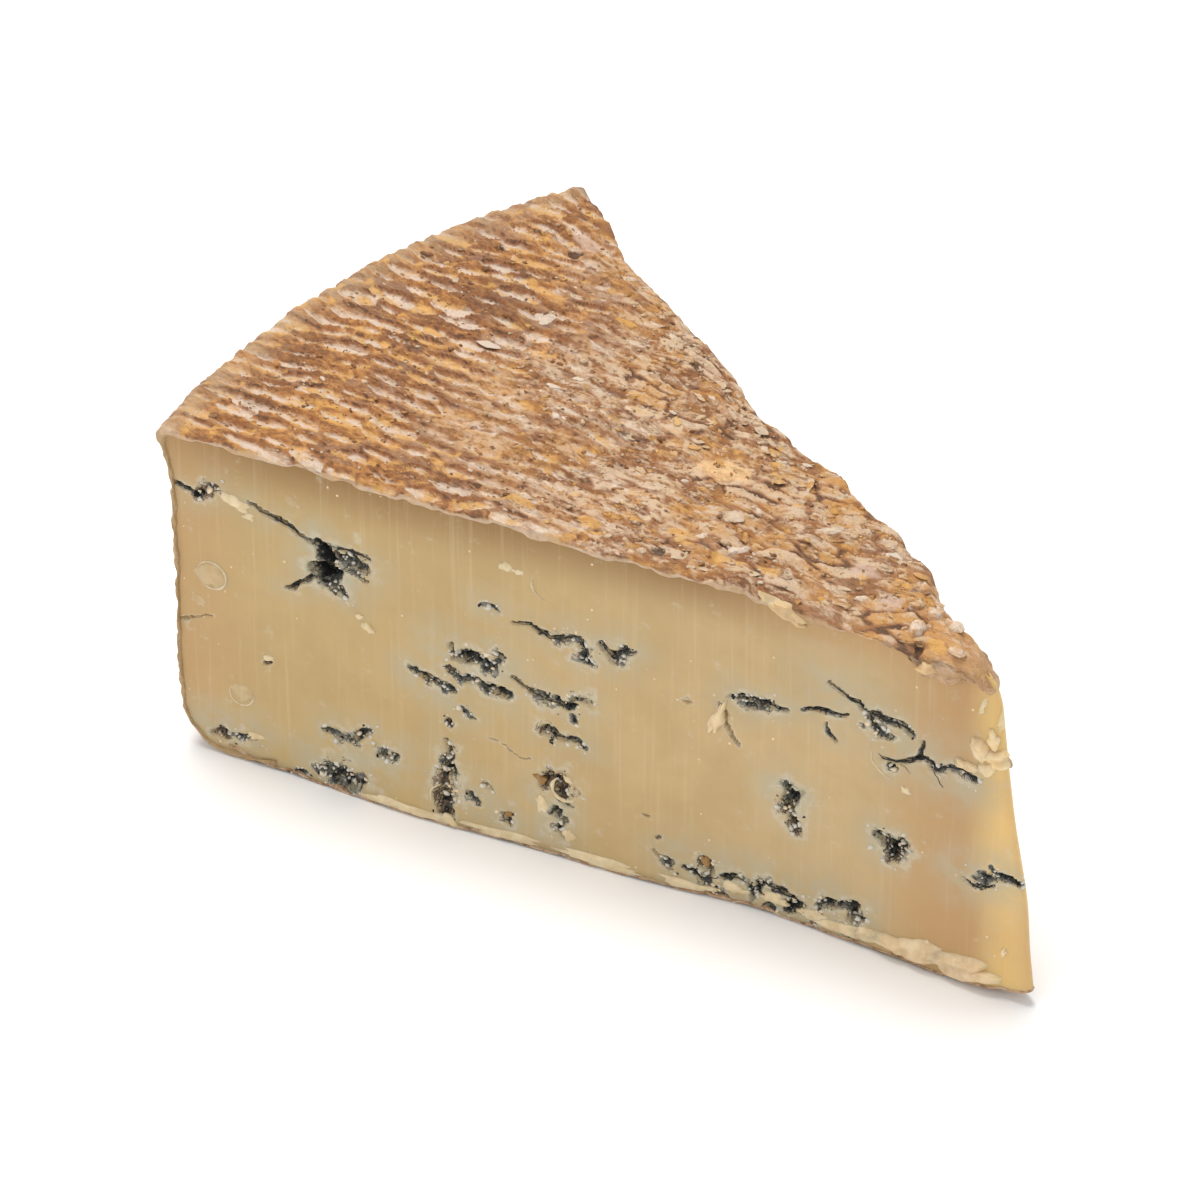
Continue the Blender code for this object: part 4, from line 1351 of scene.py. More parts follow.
def tube(path, side_axis, up_axis, radii, flatness):
    """A closed tube along a path, as points and triangles.

    Ring k is path_k + r_k (cos a side_k + flatness sin a up_k); both ends close on a point.
    """
    angle = np.arange(TUBE_SIDES) * 2.0 * math.pi / TUBE_SIDES
    wheel = np.cos(angle)[None, :, None] * side_axis[:, None, :]
    wheel = wheel + flatness * np.sin(angle)[None, :, None] * up_axis[:, None, :]
    rings = path[:, None, :] + radii[:, None, None] * wheel
    index = closed(np.arange(len(path) * TUBE_SIDES).reshape(len(path), TUBE_SIDES))
    points = np.concatenate([rings.reshape(-1, 3), path[:1], path[-1:]])
    ends = [fan(index[0], len(points) - 2), fan(index[-1], len(points) - 1)]
    return points, np.concatenate([split(grid_quads(index)), *ends])


def along_route(route, step):
    """Evenly spaced points of a route, rounded at its corners, and the share passed."""
    corners = np.array(route, float) * MM
    steps = np.hypot(*np.diff(corners, axis=0).T)
    passed = np.concatenate([[0.0], np.cumsum(steps)])
    count = max(int(passed[-1] / step), 6)
    share = np.linspace(0.0, 1.0, count)
    line = np.column_stack([np.interp(share * passed[-1], passed, corners[:, k]) for k in (0, 1)])
    for _ in range(3):
        line[1:-1] = 0.25 * line[:-2] + 0.5 * line[1:-1] + 0.25 * line[2:]
    return line, share


def thread(route, side, radius, seed, sink, flatness, wander):
    """A tube laid along a route of a cut face, tapered at both ends."""
    line, share = along_route(route, THREAD_STEP)
    run, height = line.T
    if wander:
        run, height = (
            run - flat_lumps(run, height, WARP),
            height - flat_lumps(height + 0.5, run, WARP),
        )
        run = run + flat_lumps(run, height, ((THREAD_CELL, THREAD_WANDER, 131 + seed),))
        height = height + flat_lumps(height, run, ((THREAD_CELL, THREAD_WANDER, 132 + seed),))
    centre, normal = face_point(run, np.clip(height, 0.0006, WHEEL_HEIGHT), side)
    tangent = np.gradient(centre, axis=0)
    tangent /= np.linalg.norm(tangent, axis=1)[:, None]
    across = np.cross(normal, tangent)
    rough = 1.0 + flat_lumps(run, height, ((0.0016, 0.45, 133 + seed), (0.0006, 0.3, 134 + seed)))
    taper = np.minimum(1.0, np.sin(math.pi * np.clip(share, 0.004, 0.996)) ** 0.6 + 0.05)
    radii = radius * np.clip(rough, 0.25, 1.8) * taper
    centre = centre - normal * (sink * radii)[:, None]
    return tube(centre, across, normal, radii, flatness)


def build_threads(material):
    """Fine dark threads of mould along the cracks of both cut faces."""
    shell = Shell()
    routes = [
        (side, CRACK_THREAD * half, route)
        for side, strokes in ((-1, NEAR_STROKES), (1, FAR_STROKES))
        for kind, half, _, route in strokes
        if kind == "crack"
    ]
    routes += [(-1, *row) for row in NEAR_THREADS] + [(1, *row) for row in FAR_THREADS]
    for number, (side, half_width, route) in enumerate(routes):
        shape = thread(route, side, 0.7 * half_width * MM, number, 0.55, 0.7, True)
        shell.attach(*shape, tone=0.10)
    return shell.piece("mould_threads", material)


def build_mould_crumbs(material, seed):
    """Grains of mould and paste, 0.2 to 0.6 mm, lying in and round the pockets.

    Grains are strewn along each stroke, then set at the depth of the vein there.
    """
    random = np.random.default_rng(seed)
    shell = Shell()
    for side, strokes in ((-1, NEAR_STROKES), (1, FAR_STROKES)):
        places = []
        for kind, half_width, _, route in strokes:
            if kind not in CRUMBLY_KINDS:
                continue
            line, _ = along_route(route, THREAD_STEP)
            length = np.hypot(*np.diff(line, axis=0).T).sum()
            number = int(CRUMBS_PER_AREA * (length + 0.002) * (half_width * MM + 0.0006))
            chosen = line[random.integers(0, len(line), number)]
            spread = 0.55 * half_width * MM + 0.00035
            places.append(chosen + random.normal(0.0, spread, (number, 2)))
        run, height = np.concatenate(places).T
        height = np.clip(height, 0.0008, None)
        run = run - flat_lumps(run, height, WARP)
        height = height - flat_lumps(height + 0.5, run, WARP)
        fields = vein_fields(run, height, strokes)
        open_spots = (fields["dark"] < 1.5) | (fields["vein"] < 0.1)
        run, height = run[open_spots], height[open_spots]
        count = len(run)
        vein, deep = fields["vein"][open_spots], fields["depth"][open_spots]
        centre, normal = face_point(run, height, side)
        pale = random.uniform(size=count) < np.where(vein > 0.25, 0.50, 0.85)
        size = random.lognormal(-1.45, 0.40, count) * np.where(pale, 1.35, 1.0)
        size = np.minimum(size, 0.62) * MM
        buried = random.uniform(0.25, 0.9, count) * np.where(pale, 0.6, 1.0)
        depth = np.minimum(deep * buried, 0.0022)
        centre = centre - normal * (depth + 0.35 * size)[:, None]
        turn = random.uniform(-math.pi, math.pi, count)
        ahead = np.column_stack([np.cos(turn), np.sin(turn), 0.7 * np.sin(2.0 * turn)])
        tilt, roll = random.normal(0, 0.4, count), random.normal(0, 0.4, count)
        axes = frames(normal, ahead, tilt, roll)
        flat = random.uniform(0.6, 1.0, (2, count))
        sizes = np.column_stack([size * 1.15, size * flat[0], size * flat[1]])
        shaped, faces, per_point = lumpy_crumbs(random, centre, axes, sizes)
        light, dim = random.uniform(0.55, 1.0, count), random.uniform(0.0, 0.35, count)
        tone = np.where(pale, light, dim)
        shell.attach(shaped, faces, tone=np.repeat(tone, per_point))
    return shell.piece("mould_crumbs", material)


def smear(row, side, seed):
    """A thin raised patch of paste on a cut face, as points and triangles.

    Rings spread from its centre to a ragged outline; its back rises to its thickness
    and falls to the face at the outline, and a second skin closes it inside the paste.
    """
    run, height, half_run, half_height, tilt, thickness, *lift = row
    share = np.repeat(np.linspace(1.0 / SMEAR_RINGS, 1.0, SMEAR_RINGS), SMEAR_SPOKES)
    angle = np.tile(np.arange(SMEAR_SPOKES) * 2.0 * math.pi / SMEAR_SPOKES, SMEAR_RINGS)
    layers = ((0.9, 0.36, seed), (0.4, 0.12, seed + 1))
    reach = share * (1.0 + flat_lumps(2.0 * np.cos(angle), 2.0 * np.sin(angle), layers))
    u, v = half_run * reach * np.cos(angle), half_height * reach * np.sin(angle)
    cos, sin = math.cos(math.radians(tilt)), math.sin(math.radians(tilt))
    runs = np.append(run, run + u * cos - v * sin) * MM
    heights = np.clip(np.append(height, height + u * sin + v * cos) * MM, 0.0002, WHEEL_HEIGHT)
    centre, normal = face_point(runs, heights, side)
    centre = centre + normal * sum(lift) * MM
    share = np.append(0.0, share)
    dome = (1.0 - share**4) * (1.0 + flat_lumps(runs, heights, ((0.0022, 0.45, seed + 2),)))
    crinkle = flat_lumps(runs, heights, ((0.0010, 0.28, seed + 3),)) * (1.0 - share**6)
    above = centre + normal * (thickness * MM * (dome + crinkle) - 0.00004)[:, None]
    index = closed(1 + np.arange(SMEAR_RINGS * SMEAR_SPOKES).reshape(SMEAR_RINGS, -1))
    faces = [split(ladder(index[-1], index[-1] + len(above)))]
    for start in (0, len(above)):
        faces += [split(grid_quads(index + start)), fan(index[0] + start, start)]
    return np.concatenate([above, centre - normal * SMEAR_UNDER]), np.concatenate(faces)


def build_smears(material):
    """Raised patches, curls and creases of paste on both cut faces."""
    shapes = [
        (smear(row, side, seed + 7 * k), brown)
        for rows, side, seed, brown in PATCHES
        for k, row in enumerate(rows)
    ]
    for k, (radius, route) in enumerate(NEAR_CURLS):
        shapes.append((thread(route, -1, radius * MM, 40 + k, 0.1, 0.8, False), 0.0))
    shell = Shell()
    for (points, faces), brown in shapes:
        run, gap = from_axis(points), SMEAR_RIND_GAP * (1.0 - brown)
        shell.attach(points, faces, run=run, rind_gap=gap, pale=1.0 - brown, vein=NO_VEIN)
    piece = shell.piece("paste_smears", material)
    piece.data.set_sharp_from_angle(angle=SMEAR_SHARP_ANGLE)
    return piece


def circle_route(run, height, radius, start, end):
    """Points of an arc on a face, in millimetres and degrees."""
    angle = np.radians(np.linspace(start, end, 16))
    return np.column_stack([run + radius * np.cos(angle), height + radius * np.sin(angle)])


TUBE_SIDES = 7
CRACK_THREAD = 0.17
SMEAR_SHARP_ANGLE = math.radians(34)
THREAD_STEP = 0.00030
THREAD_CELL = 0.0009
THREAD_WANDER = 0.00034
CRUMBS_PER_AREA = 1.5e6
CRUMBLY_KINDS = ("pocket", "slate", "brown")
SMEAR_RINGS = 7
SMEAR_SPOKES = 30
SMEAR_RIND_GAP = 20.0
SMEAR_UNDER = 0.0004

# Threads of mould apart from the cracks: radius and route, in millimetres.
NEAR_THREADS = with_routes(
    1,
    (0.22, 31.5, 51.8, 29.8, 50, 27.6, 48.7, 25, 47.4, 22.6, 47.3, 19.4, 46.9, 17.6, 45),
    (0.16, 24.6, 47.4, 23.4, 45.4, 22.2, 44.6),
    (0.15, 20.6, 47, 20, 45.4),
    (0.20, 23.4, 40.4, 21, 39.6, 19, 40.3, 16.6, 40.5, 15.2, 41.4, 13.4, 39.8, 12, 40.2),
    (0.16, 16.2, 41, 15.8, 43, 15, 45),
    (0.15, 19.4, 40.2, 18.4, 38.6, 17.6, 38),
    (0.18, 12.4, 40.4, 10, 41.8, 8.8, 41.6, 7, 40.3),
    (0.14, 14, 39.8, 13.4, 38.2, 12.2, 37.6),
    (0.20, 49, 42.8, 46, 43.4, 43, 43, 39, 43.5),
    (0.16, 36.8, 43.8, 33.5, 44.9, 31.2, 45.3, 29, 46),
    (0.14, 8.4, 21, 6.2, 19.8, 4.8, 21.2, 2.2, 21.7),
    (0.16, 3.6, 26, 1.8, 24.1, -0.6, 23.2, -3.0, 23),
    (0.16, 134.2, 53.2, 131, 51.2, 128, 51, 125, 50, 122.6, 49),
    (0.18, 117.2, 48.9, 114, 49.4, 112, 48.7, 111.2, 48.9),
    (0.15, 86.2, 44.4, 83, 44.9, 81.2, 43.6, 78, 43.4, 76, 44.8, 73.8, 43.6),
    (0.14, 70.8, 46, 69, 43.8, 67, 46, 65.2, 45.6),
    (0.15, 87.8, 33.4, 84, 31.9, 80.2, 30.7, 76.6, 30.8, 74.6, 33),
    (0.14, 82.6, 25, 80.4, 25.6, 76.8, 24.7, 73.2, 24.3),
    (0.16, 105.4, 28.9, 103.4, 28.2, 100.4, 27.8, 97.4, 27.5),
    (0.15, 59.4, 3.8, 56, 4.4, 53.8, 3.6, 51, 5.2, 48.4, 5.2, 45.4, 4.3),
    (0.17, 45.6, 5.6, 43, 6, 40.4, 6.2, 37.8, 5.2, 36, 5.4),
)
FAR_THREADS = with_routes(
    1,
    (0.18, 124.4, 41, 119, 38.7, 114, 37.6, 110, 35.2),
    (0.16, 76.4, 45.8, 72.4, 44.6, 69, 45.3, 65.6, 44),
    (0.18, 31.4, 46.2, 27.6, 44.6, 24.4, 43.9, 20.6, 41.8),
    (0.15, 24.4, 44, 22.4, 41.4, 21.2, 40.2),
    (0.15, 70.6, 6.2, 66.4, 5.7, 62.6, 6.3, 58.6, 5),
)

# Patches: distance from the axis, height, half sizes, tilt in degrees, thickness, and
# how far a patch is lifted off the face, where it is.
NEAR_SMEARS = (
    (50.9, 37.4, 3.6, 1.1, -71, 0.75),
    (6.4, 46.6, 2.3, 1.5, 60, 1.05),
    (4.4, 49.4, 1.9, 0.9, 78, 0.80),
    (3.4, 45.8, 2.0, 1.3, 20, 1.15),
    (8.4, 43.0, 2.1, 1.1, 8, 0.95),
    (5.2, 43.4, 1.7, 1.2, -30, 0.80),
    (1.4, 45.2, 2.3, 0.9, -22, 0.90),
    (0.0, 45.2, 1.5, 0.8, -15, 0.9, 0.35),
    (3.4, 53.0, 0.5, 2.2, 8, 0.35),
    (6.4, 55.0, 0.5, 2.0, 16, 0.30),
    (17.0, 3.2, 6.2, 2.5, -6, 1.00),
    (7.6, 3.0, 6.4, 2.8, 4, 1.15),
    (24.0, 3.2, 3.0, 1.3, -12, 0.50),
    (29.0, 2.2, 4.2, 1.2, -4, 0.45),
    (48.2, 3.2, 2.2, 1.1, 0, 0.45),
    (41.4, 3.4, 2.3, 1.2, -4, 0.45),
    (34.6, 2.6, 2.4, 1.2, 0, 0.45),
    (56.2, 1.6, 4.6, 1.0, 2, 0.35),
    (72.0, 1.4, 8.0, 1.1, 0, 0.30),
    (88.0, 1.4, 7.0, 1.0, 0, 0.30),
    (106.0, 1.2, 7.0, 1.0, 0, 0.30),
    (98.2, 1.4, 1.6, 0.8, 20, 0.5),
    (0.6, 8.6, 0.55, 1.0, 10, 0.45),
    (112.6, 34.8, 1.2, 0.8, 20, 0.40),
    (114.0, 36.6, 0.7, 0.5, 0, 0.35),
    (88.0, 55.2, 1.4, 0.8, 10, 0.30),
    (85.6, 54.8, 0.9, 0.6, 0, 0.30),
    (135.8, 52.2, 2.4, 1.3, 15, 0.35),
    (133.6, 50.2, 1.3, 0.8, 0, 0.30),
    (77.0, 16.2, 1.0, 0.6, 40, 0.40),
    (81.6, 9.6, 1.2, 1.6, 0, 0.35),
    (76.6, 5.0, 1.2, 1.4, 0, 0.35),
    (131.0, 22.6, 1.0, 0.6, 0, 0.25),
    (133.6, 5.6, 1.6, 0.8, 0, 0.3),
    (18.6, 34.4, 1.0, 0.7, 20, 0.2),
)
NEAR_SPOTS = (
    (8.4, 3.3, 1.05, 0.9, 0, 0.85),
    (82.0, 14.6, 1.2, 0.7, 30, 0.30),
    (52.9, 7.6, 0.7, 1.1, 0, 0.30),
    (87.4, 5.8, 0.7, 0.5, 0, 0.30),
)
NEAR_DISCS = (
    (39.4, 62.8, 3.4, 1.5, 22, 1.3, 0.3),
    (42.6, 64.0, 1.6, 1.0, 10, 1.1, 0.2),
    (14.6, 60.6, 2.6, 0.9, -6, 0.9, 1.6),
    (140.9, 36.1, 2.6, 2.6, 0, 0.16),
    (136.2, 13.4, 2.0, 2.0, 0, 0.12),
    (143.6, 30.6, 1.6, 1.2, 30, 0.16),
)
FAR_SMEARS = (
    (62.0, 2.0, 7.0, 1.3, 0, 0.40),
    (30.0, 2.2, 6.0, 1.6, 3, 0.45),
    (98.0, 1.6, 8.0, 1.2, 0, 0.35),
    (122.0, 1.8, 5.0, 1.2, 0, 0.35),
    (52.0, 34.0, 3.0, 0.9, 64, 0.55),
    (10.0, 36.0, 1.6, 1.1, 30, 0.60),
    (84.0, 50.0, 1.6, 0.8, 10, 0.30),
    (118.0, 24.0, 1.2, 0.8, 0, 0.35),
)
NEAR_CURLS = (
    (0.30, circle_route(77.6, 14.0, 2.3, 60, -150)),
    (0.20, circle_route(140.9, 36.1, 2.7, 20, 350)),
    (0.17, circle_route(80.2, 53.6, 3.2, 30, -80)),
    (0.18, circle_route(136.2, 13.4, 2.2, 160, 400)),
    (0.16, ((24.8, 40.6), (24.6, 38.2), (22.6, 36.2), (20.4, 35.4))),
    (0.16, ((99.6, 8.0), (101.4, 6.4), (101.2, 3.6))),
)

# Sets of patches: rows, side, seed of the first row, and how brown they are.
PATCHES = (
    (NEAR_SMEARS, -1, 140, 0.0),
    (FAR_SMEARS, 1, 440, 0.0),
    (NEAR_SPOTS, -1, 740, 1.0),
    (NEAR_DISCS, -1, 840, 0.62),
)


# ---------------------------------------------------------------- materials

VEIN_BROWN_BLACK = (0.030, 0.018, 0.012)


class Value:
    """A node's output; sums, differences and products of it add more nodes."""

    def __init__(self, web, socket):
        self.web, self.socket = web, socket

    def __add__(self, other):
        return self.web.math("ADD", self, other)

    def __sub__(self, other):
        return self.web.math("SUBTRACT", self, other)

    def __rsub__(self, other):
        return self.web.math("SUBTRACT", other, self)

    def __mul__(self, other):
        return self.web.math("MULTIPLY", self, other)


class Web:
    """Adds nodes to a material and links them, in few words; colour is what the coats
    have painted so far."""

    def __init__(self, name):
        self.material = bpy.data.materials.new(name)
        self.material.use_nodes = True
        self.tree = self.material.node_tree
        self.shader = self.tree.nodes["Principled BSDF"]
        self.coordinates = self.node("ShaderNodeTexCoord", {}, "Object")
        self.colour = None

    def put(self, socket, value):
        """Links a Value to a socket, or sets the socket to a plain value."""
        if isinstance(value, Value):
            self.tree.links.new(value.socket, socket)
        else:
            socket.default_value = value

    def node(self, kind, inputs, output=0, **settings):
        """An output of a new node with these settings and inputs."""
        node = self.tree.nodes.new(kind)
        for key, value in settings.items():
            setattr(node, key, value)
        for key, value in inputs.items():
            self.put(node.inputs[key], value)
        return Value(self, node.outputs[output])

    def field(self, name):
        """One number per point of the mesh."""
        return self.node("ShaderNodeAttribute", {}, "Fac", attribute_name=name)

    def math(self, operation, first, second):
        """A sum, product or other operation on two values."""
        return self.node("ShaderNodeMath", {0: first, 1: second}, operation=operation)

    def rise(self, value, start, end, low=0.0, high=1.0):
        """A smooth step of a value from low to high."""
        inputs = {"Value": value, "From Min": start, "From Max": end, "To Min": low, "To Max": high}
        return self.node("ShaderNodeMapRange", inputs, interpolation_type="SMOOTHSTEP")

    def stretched(self, scale, angle=0.0):
        """Object coordinates, turned about Z and then scaled."""
        inputs = {"Vector": self.coordinates, "Rotation": (0.0, 0.0, angle)}
        turned = self.node("ShaderNodeMapping", inputs)
        return self.node("ShaderNodeMapping", {"Vector": turned, "Scale": scale})

    def noise(self, scale, detail=3.0, roughness=0.55, vector=None):
        """Cloudy noise; scale counts its features in a metre."""
        inputs = {"Scale": scale, "Detail": detail, "Roughness": roughness}
        inputs["Vector"] = vector or self.coordinates
        return self.node("ShaderNodeTexNoise", inputs, "Fac")

    def grains(self, scale, feature="F1"):
        """Distance to the nearest grain, or to the edge between two of them."""
        inputs = {"Vector": self.coordinates, "Scale": scale}
        return self.node("ShaderNodeTexVoronoi", inputs, "Distance", feature=feature)

    def mix(self, share, first, second):
        """Blend of two colours by a share."""
        first, second = (c if isinstance(c, Value) else (*c, 1.0) for c in (first, second))
        return self.node("ShaderNodeMix", {0: share, 6: first, 7: second}, 2, data_type="RGBA")

    def coat(self, share, colour):
        """Paints a colour over what is there, by a share."""
        self.colour = self.mix(share, self.colour, colour)

    def bump(self, height, strength, distance, **normal):
        """A normal tilted by a height, on top of another normal if one is given."""
        inputs = {"Height": height, "Strength": strength, "Distance": distance, **normal}
        return self.node("ShaderNodeBump", inputs)

    def finish(self, roughness, normal, **settings):
        """Joins everything to the shader and gives back the material."""
        settings |= {"Base Color": self.colour, "Roughness": roughness, "Normal": normal}
        for key, value in settings.items():
            self.put(self.shader.inputs[key.replace("_", " ")], value)
        return self.material


def paste_material(looks):
    """Waxy cream paste with veins of mould; the tan under the rind is partly painted shade under
    the crust's lip, and the amber and gold near the tip are a painted glow of light through the
    thin paste.

    The vein field plus coarse and fine noise passes thresholds: haze, bloom, a network
    of dark lines between pale grains, and black at the heart.
    """
    web = Web("blue_cheese_paste")
    rise, noise, coat = web.rise, web.noise, web.coat
    cloud = noise(70, 3)
    streak = noise(1.0, 3, 0.6, web.stretched((1100, 1100, 28)))
    fine = noise(900, 4, 0.65)
    coarse = noise(420, 3, 0.6)
    run = web.field("run")
    web.colour = web.mix(rise(run, 0.02, 0.13), looks.cream, looks.cream_deep)
    coat(rise(cloud, 0.35, 0.65, 0.0, 0.40), looks.shade)
    coat(rise(noise(260, 3), 0.35, 0.70, 0.0, 0.22), looks.shade)

    # Tan under the rind and along the base, darker towards the edges: partly the paste's own colour
    # by the crust, partly painted shade under the crust's lip. Amber at the rim. Amber behind the
    # tip and gold at its very edge: a painted glow of light through the thin paste.
    tan_width = rise(run, 0.03, 0.12, 12.0, 14.5)
    tan_share = rise(web.field("rind_gap") + cloud * 4.0, 0.5, tan_width, 0.95, 0.0)
    coat(tan_share, web.mix(rise(run, 0.025, 0.060), looks.amber, looks.under_rind))
    coat(rise(run, 0.130, 0.148, 0.0, 0.50), looks.amber)
    # Painted glow at the tip: amber behind it, gold along its very edge.
    inner = rise(run + noise(22, 2) * 0.008, 0.006, 0.013)
    outer = rise(run + cloud * 0.010, 0.016, 0.032, 0.75, 0.0)
    coat(inner * outer, looks.amber)
    coat(inner * -0.65 + 0.65, looks.tip_glow)

    # Knife marks and specks, then the haze round the veins.
    coat(rise(streak, 0.52, 0.80, 0.0, 0.20), looks.streak)
    coat(rise(streak, 0.20, 0.42, 0.18, 0.0), looks.shade)
    specks = rise(web.grains(650), 0.10, 0.19, 1.0, 0.0)
    coat(specks * rise(noise(330, 1), 0.64, 0.68), looks.streak)
    patchy = rise(noise(300, 4, 0.6), 0.28, 0.60, 0.25, 1.0)
    coat(web.field("haze") * patchy * 0.78, looks.haze)

    # The veins' level, made ragged, and the bloom about them.
    vein = web.field("vein")
    dark = web.field("dark")
    raggedness = dark * -0.55 + 1.60
    breaks = (noise(230, 2) - 0.5) * 2.6
    ragged = (fine - 0.5) * 1.9 + (coarse - 0.5) * 2.2
    level = breaks * raggedness + vein + ragged * raggedness
    bloom_noise = rise(noise(420, 4, 0.7), 0.38, 0.62, 0.05, 1.0)
    coat(rise(level, -1.9, -0.1) * bloom_noise * 0.55, looks.bloom)

    # The lining: a network of lines that closes up as the level rises.
    crack_gap = web.grains(1050, "DISTANCE_TO_EDGE") + (noise(2400, 2) - 0.5) * 0.22
    network = rise(level * 0.30 + 0.02 - crack_gap, -0.05, 0.05)
    dust = noise(1300, 2)
    slate = web.mix(rise(dust, 0.30, 0.55), looks.vein_black, looks.slate)
    slate = web.mix(rise(coarse, 0.50, 0.66, 0.0, 0.8), slate, looks.vein_grey)
    brown = web.mix(rise(dust, 0.30, 0.60), VEIN_BROWN_BLACK, looks.vein_brown)
    brown = web.mix(rise(coarse, 0.50, 0.66, 0.0, 0.7), brown, looks.vein_tan)
    lining = web.mix(web.field("brown"), slate, brown)
    lining = web.mix(rise(dark, 0.05, 0.35), looks.crease, lining)
    crease_line = rise(vein, -0.1, 0.5) * rise(dark, 0.05, 0.3, 1.0, 0.0)
    network = network * rise(level, -0.35, 0.15)
    cover = web.math("MAXIMUM", network, rise(level, 0.30, 0.75)) * rise(dark, 0.05, 0.3)
    cover = web.math("MAXIMUM", cover, crease_line)
    coat(cover * 0.96, lining)
    # Black at the heart of the veins; in the deep hollows it is partly the mould's colour and
    # partly painted shade inside the hole.
    coat(rise(level + dark * 0.6, 1.20, 1.75), looks.vein_black)

    # Pale grains in the veins, and the crumbled look of the smears.
    in_vein = rise(level, -0.2, 0.3)
    nodule = rise(web.grains(1700), 0.14, 0.30, 1.0, 0.0) * rise(noise(900, 1), 0.52, 0.60)
    nodule = nodule * (in_vein * dark) * rise(dark, 0.95, 1.25, 1.0, 0.15)
    coat(nodule * 0.8, looks.grain)
    coat(web.field("pale") * rise(coarse, 0.25, 0.7, 0.35, 0.9), looks.smear)

    height = fine * (in_vein * 1.4) + fine * 0.14 - cover * 0.5
    normal = web.bump(streak, 0.12, 0.0002, Normal=web.bump(height, 0.8, 0.00045))
    return web.finish(
        rise(level, -0.2, 0.3, 0.40, 0.85),
        normal,
        Subsurface_Weight=0.30,
        Subsurface_Radius=(1.0, 0.55, 0.25),
        Subsurface_Scale=0.003,
        Specular_IOR_Level=0.35,
    )


def mould_material(looks):
    """Grains and threads of mould, from black through slate to pale grey by their tone."""
    web = Web("blue_cheese_mould")
    rise = web.rise
    fine = web.noise(1800, 3, 0.6)
    tone = web.field("tone") + (fine - 0.5) * 0.35
    web.colour = web.mix(rise(tone, 0.10, 0.42), looks.vein_black, looks.slate)
    web.coat(rise(tone, 0.45, 0.62), looks.grain)
    web.coat(rise(tone, 0.88, 1.0), looks.smear)
    normal = web.bump(fine, 0.5, 0.0002)
    return web.finish(rise(tone, 0.3, 0.7, 0.75, 0.5), normal, Specular_IOR_Level=0.4)


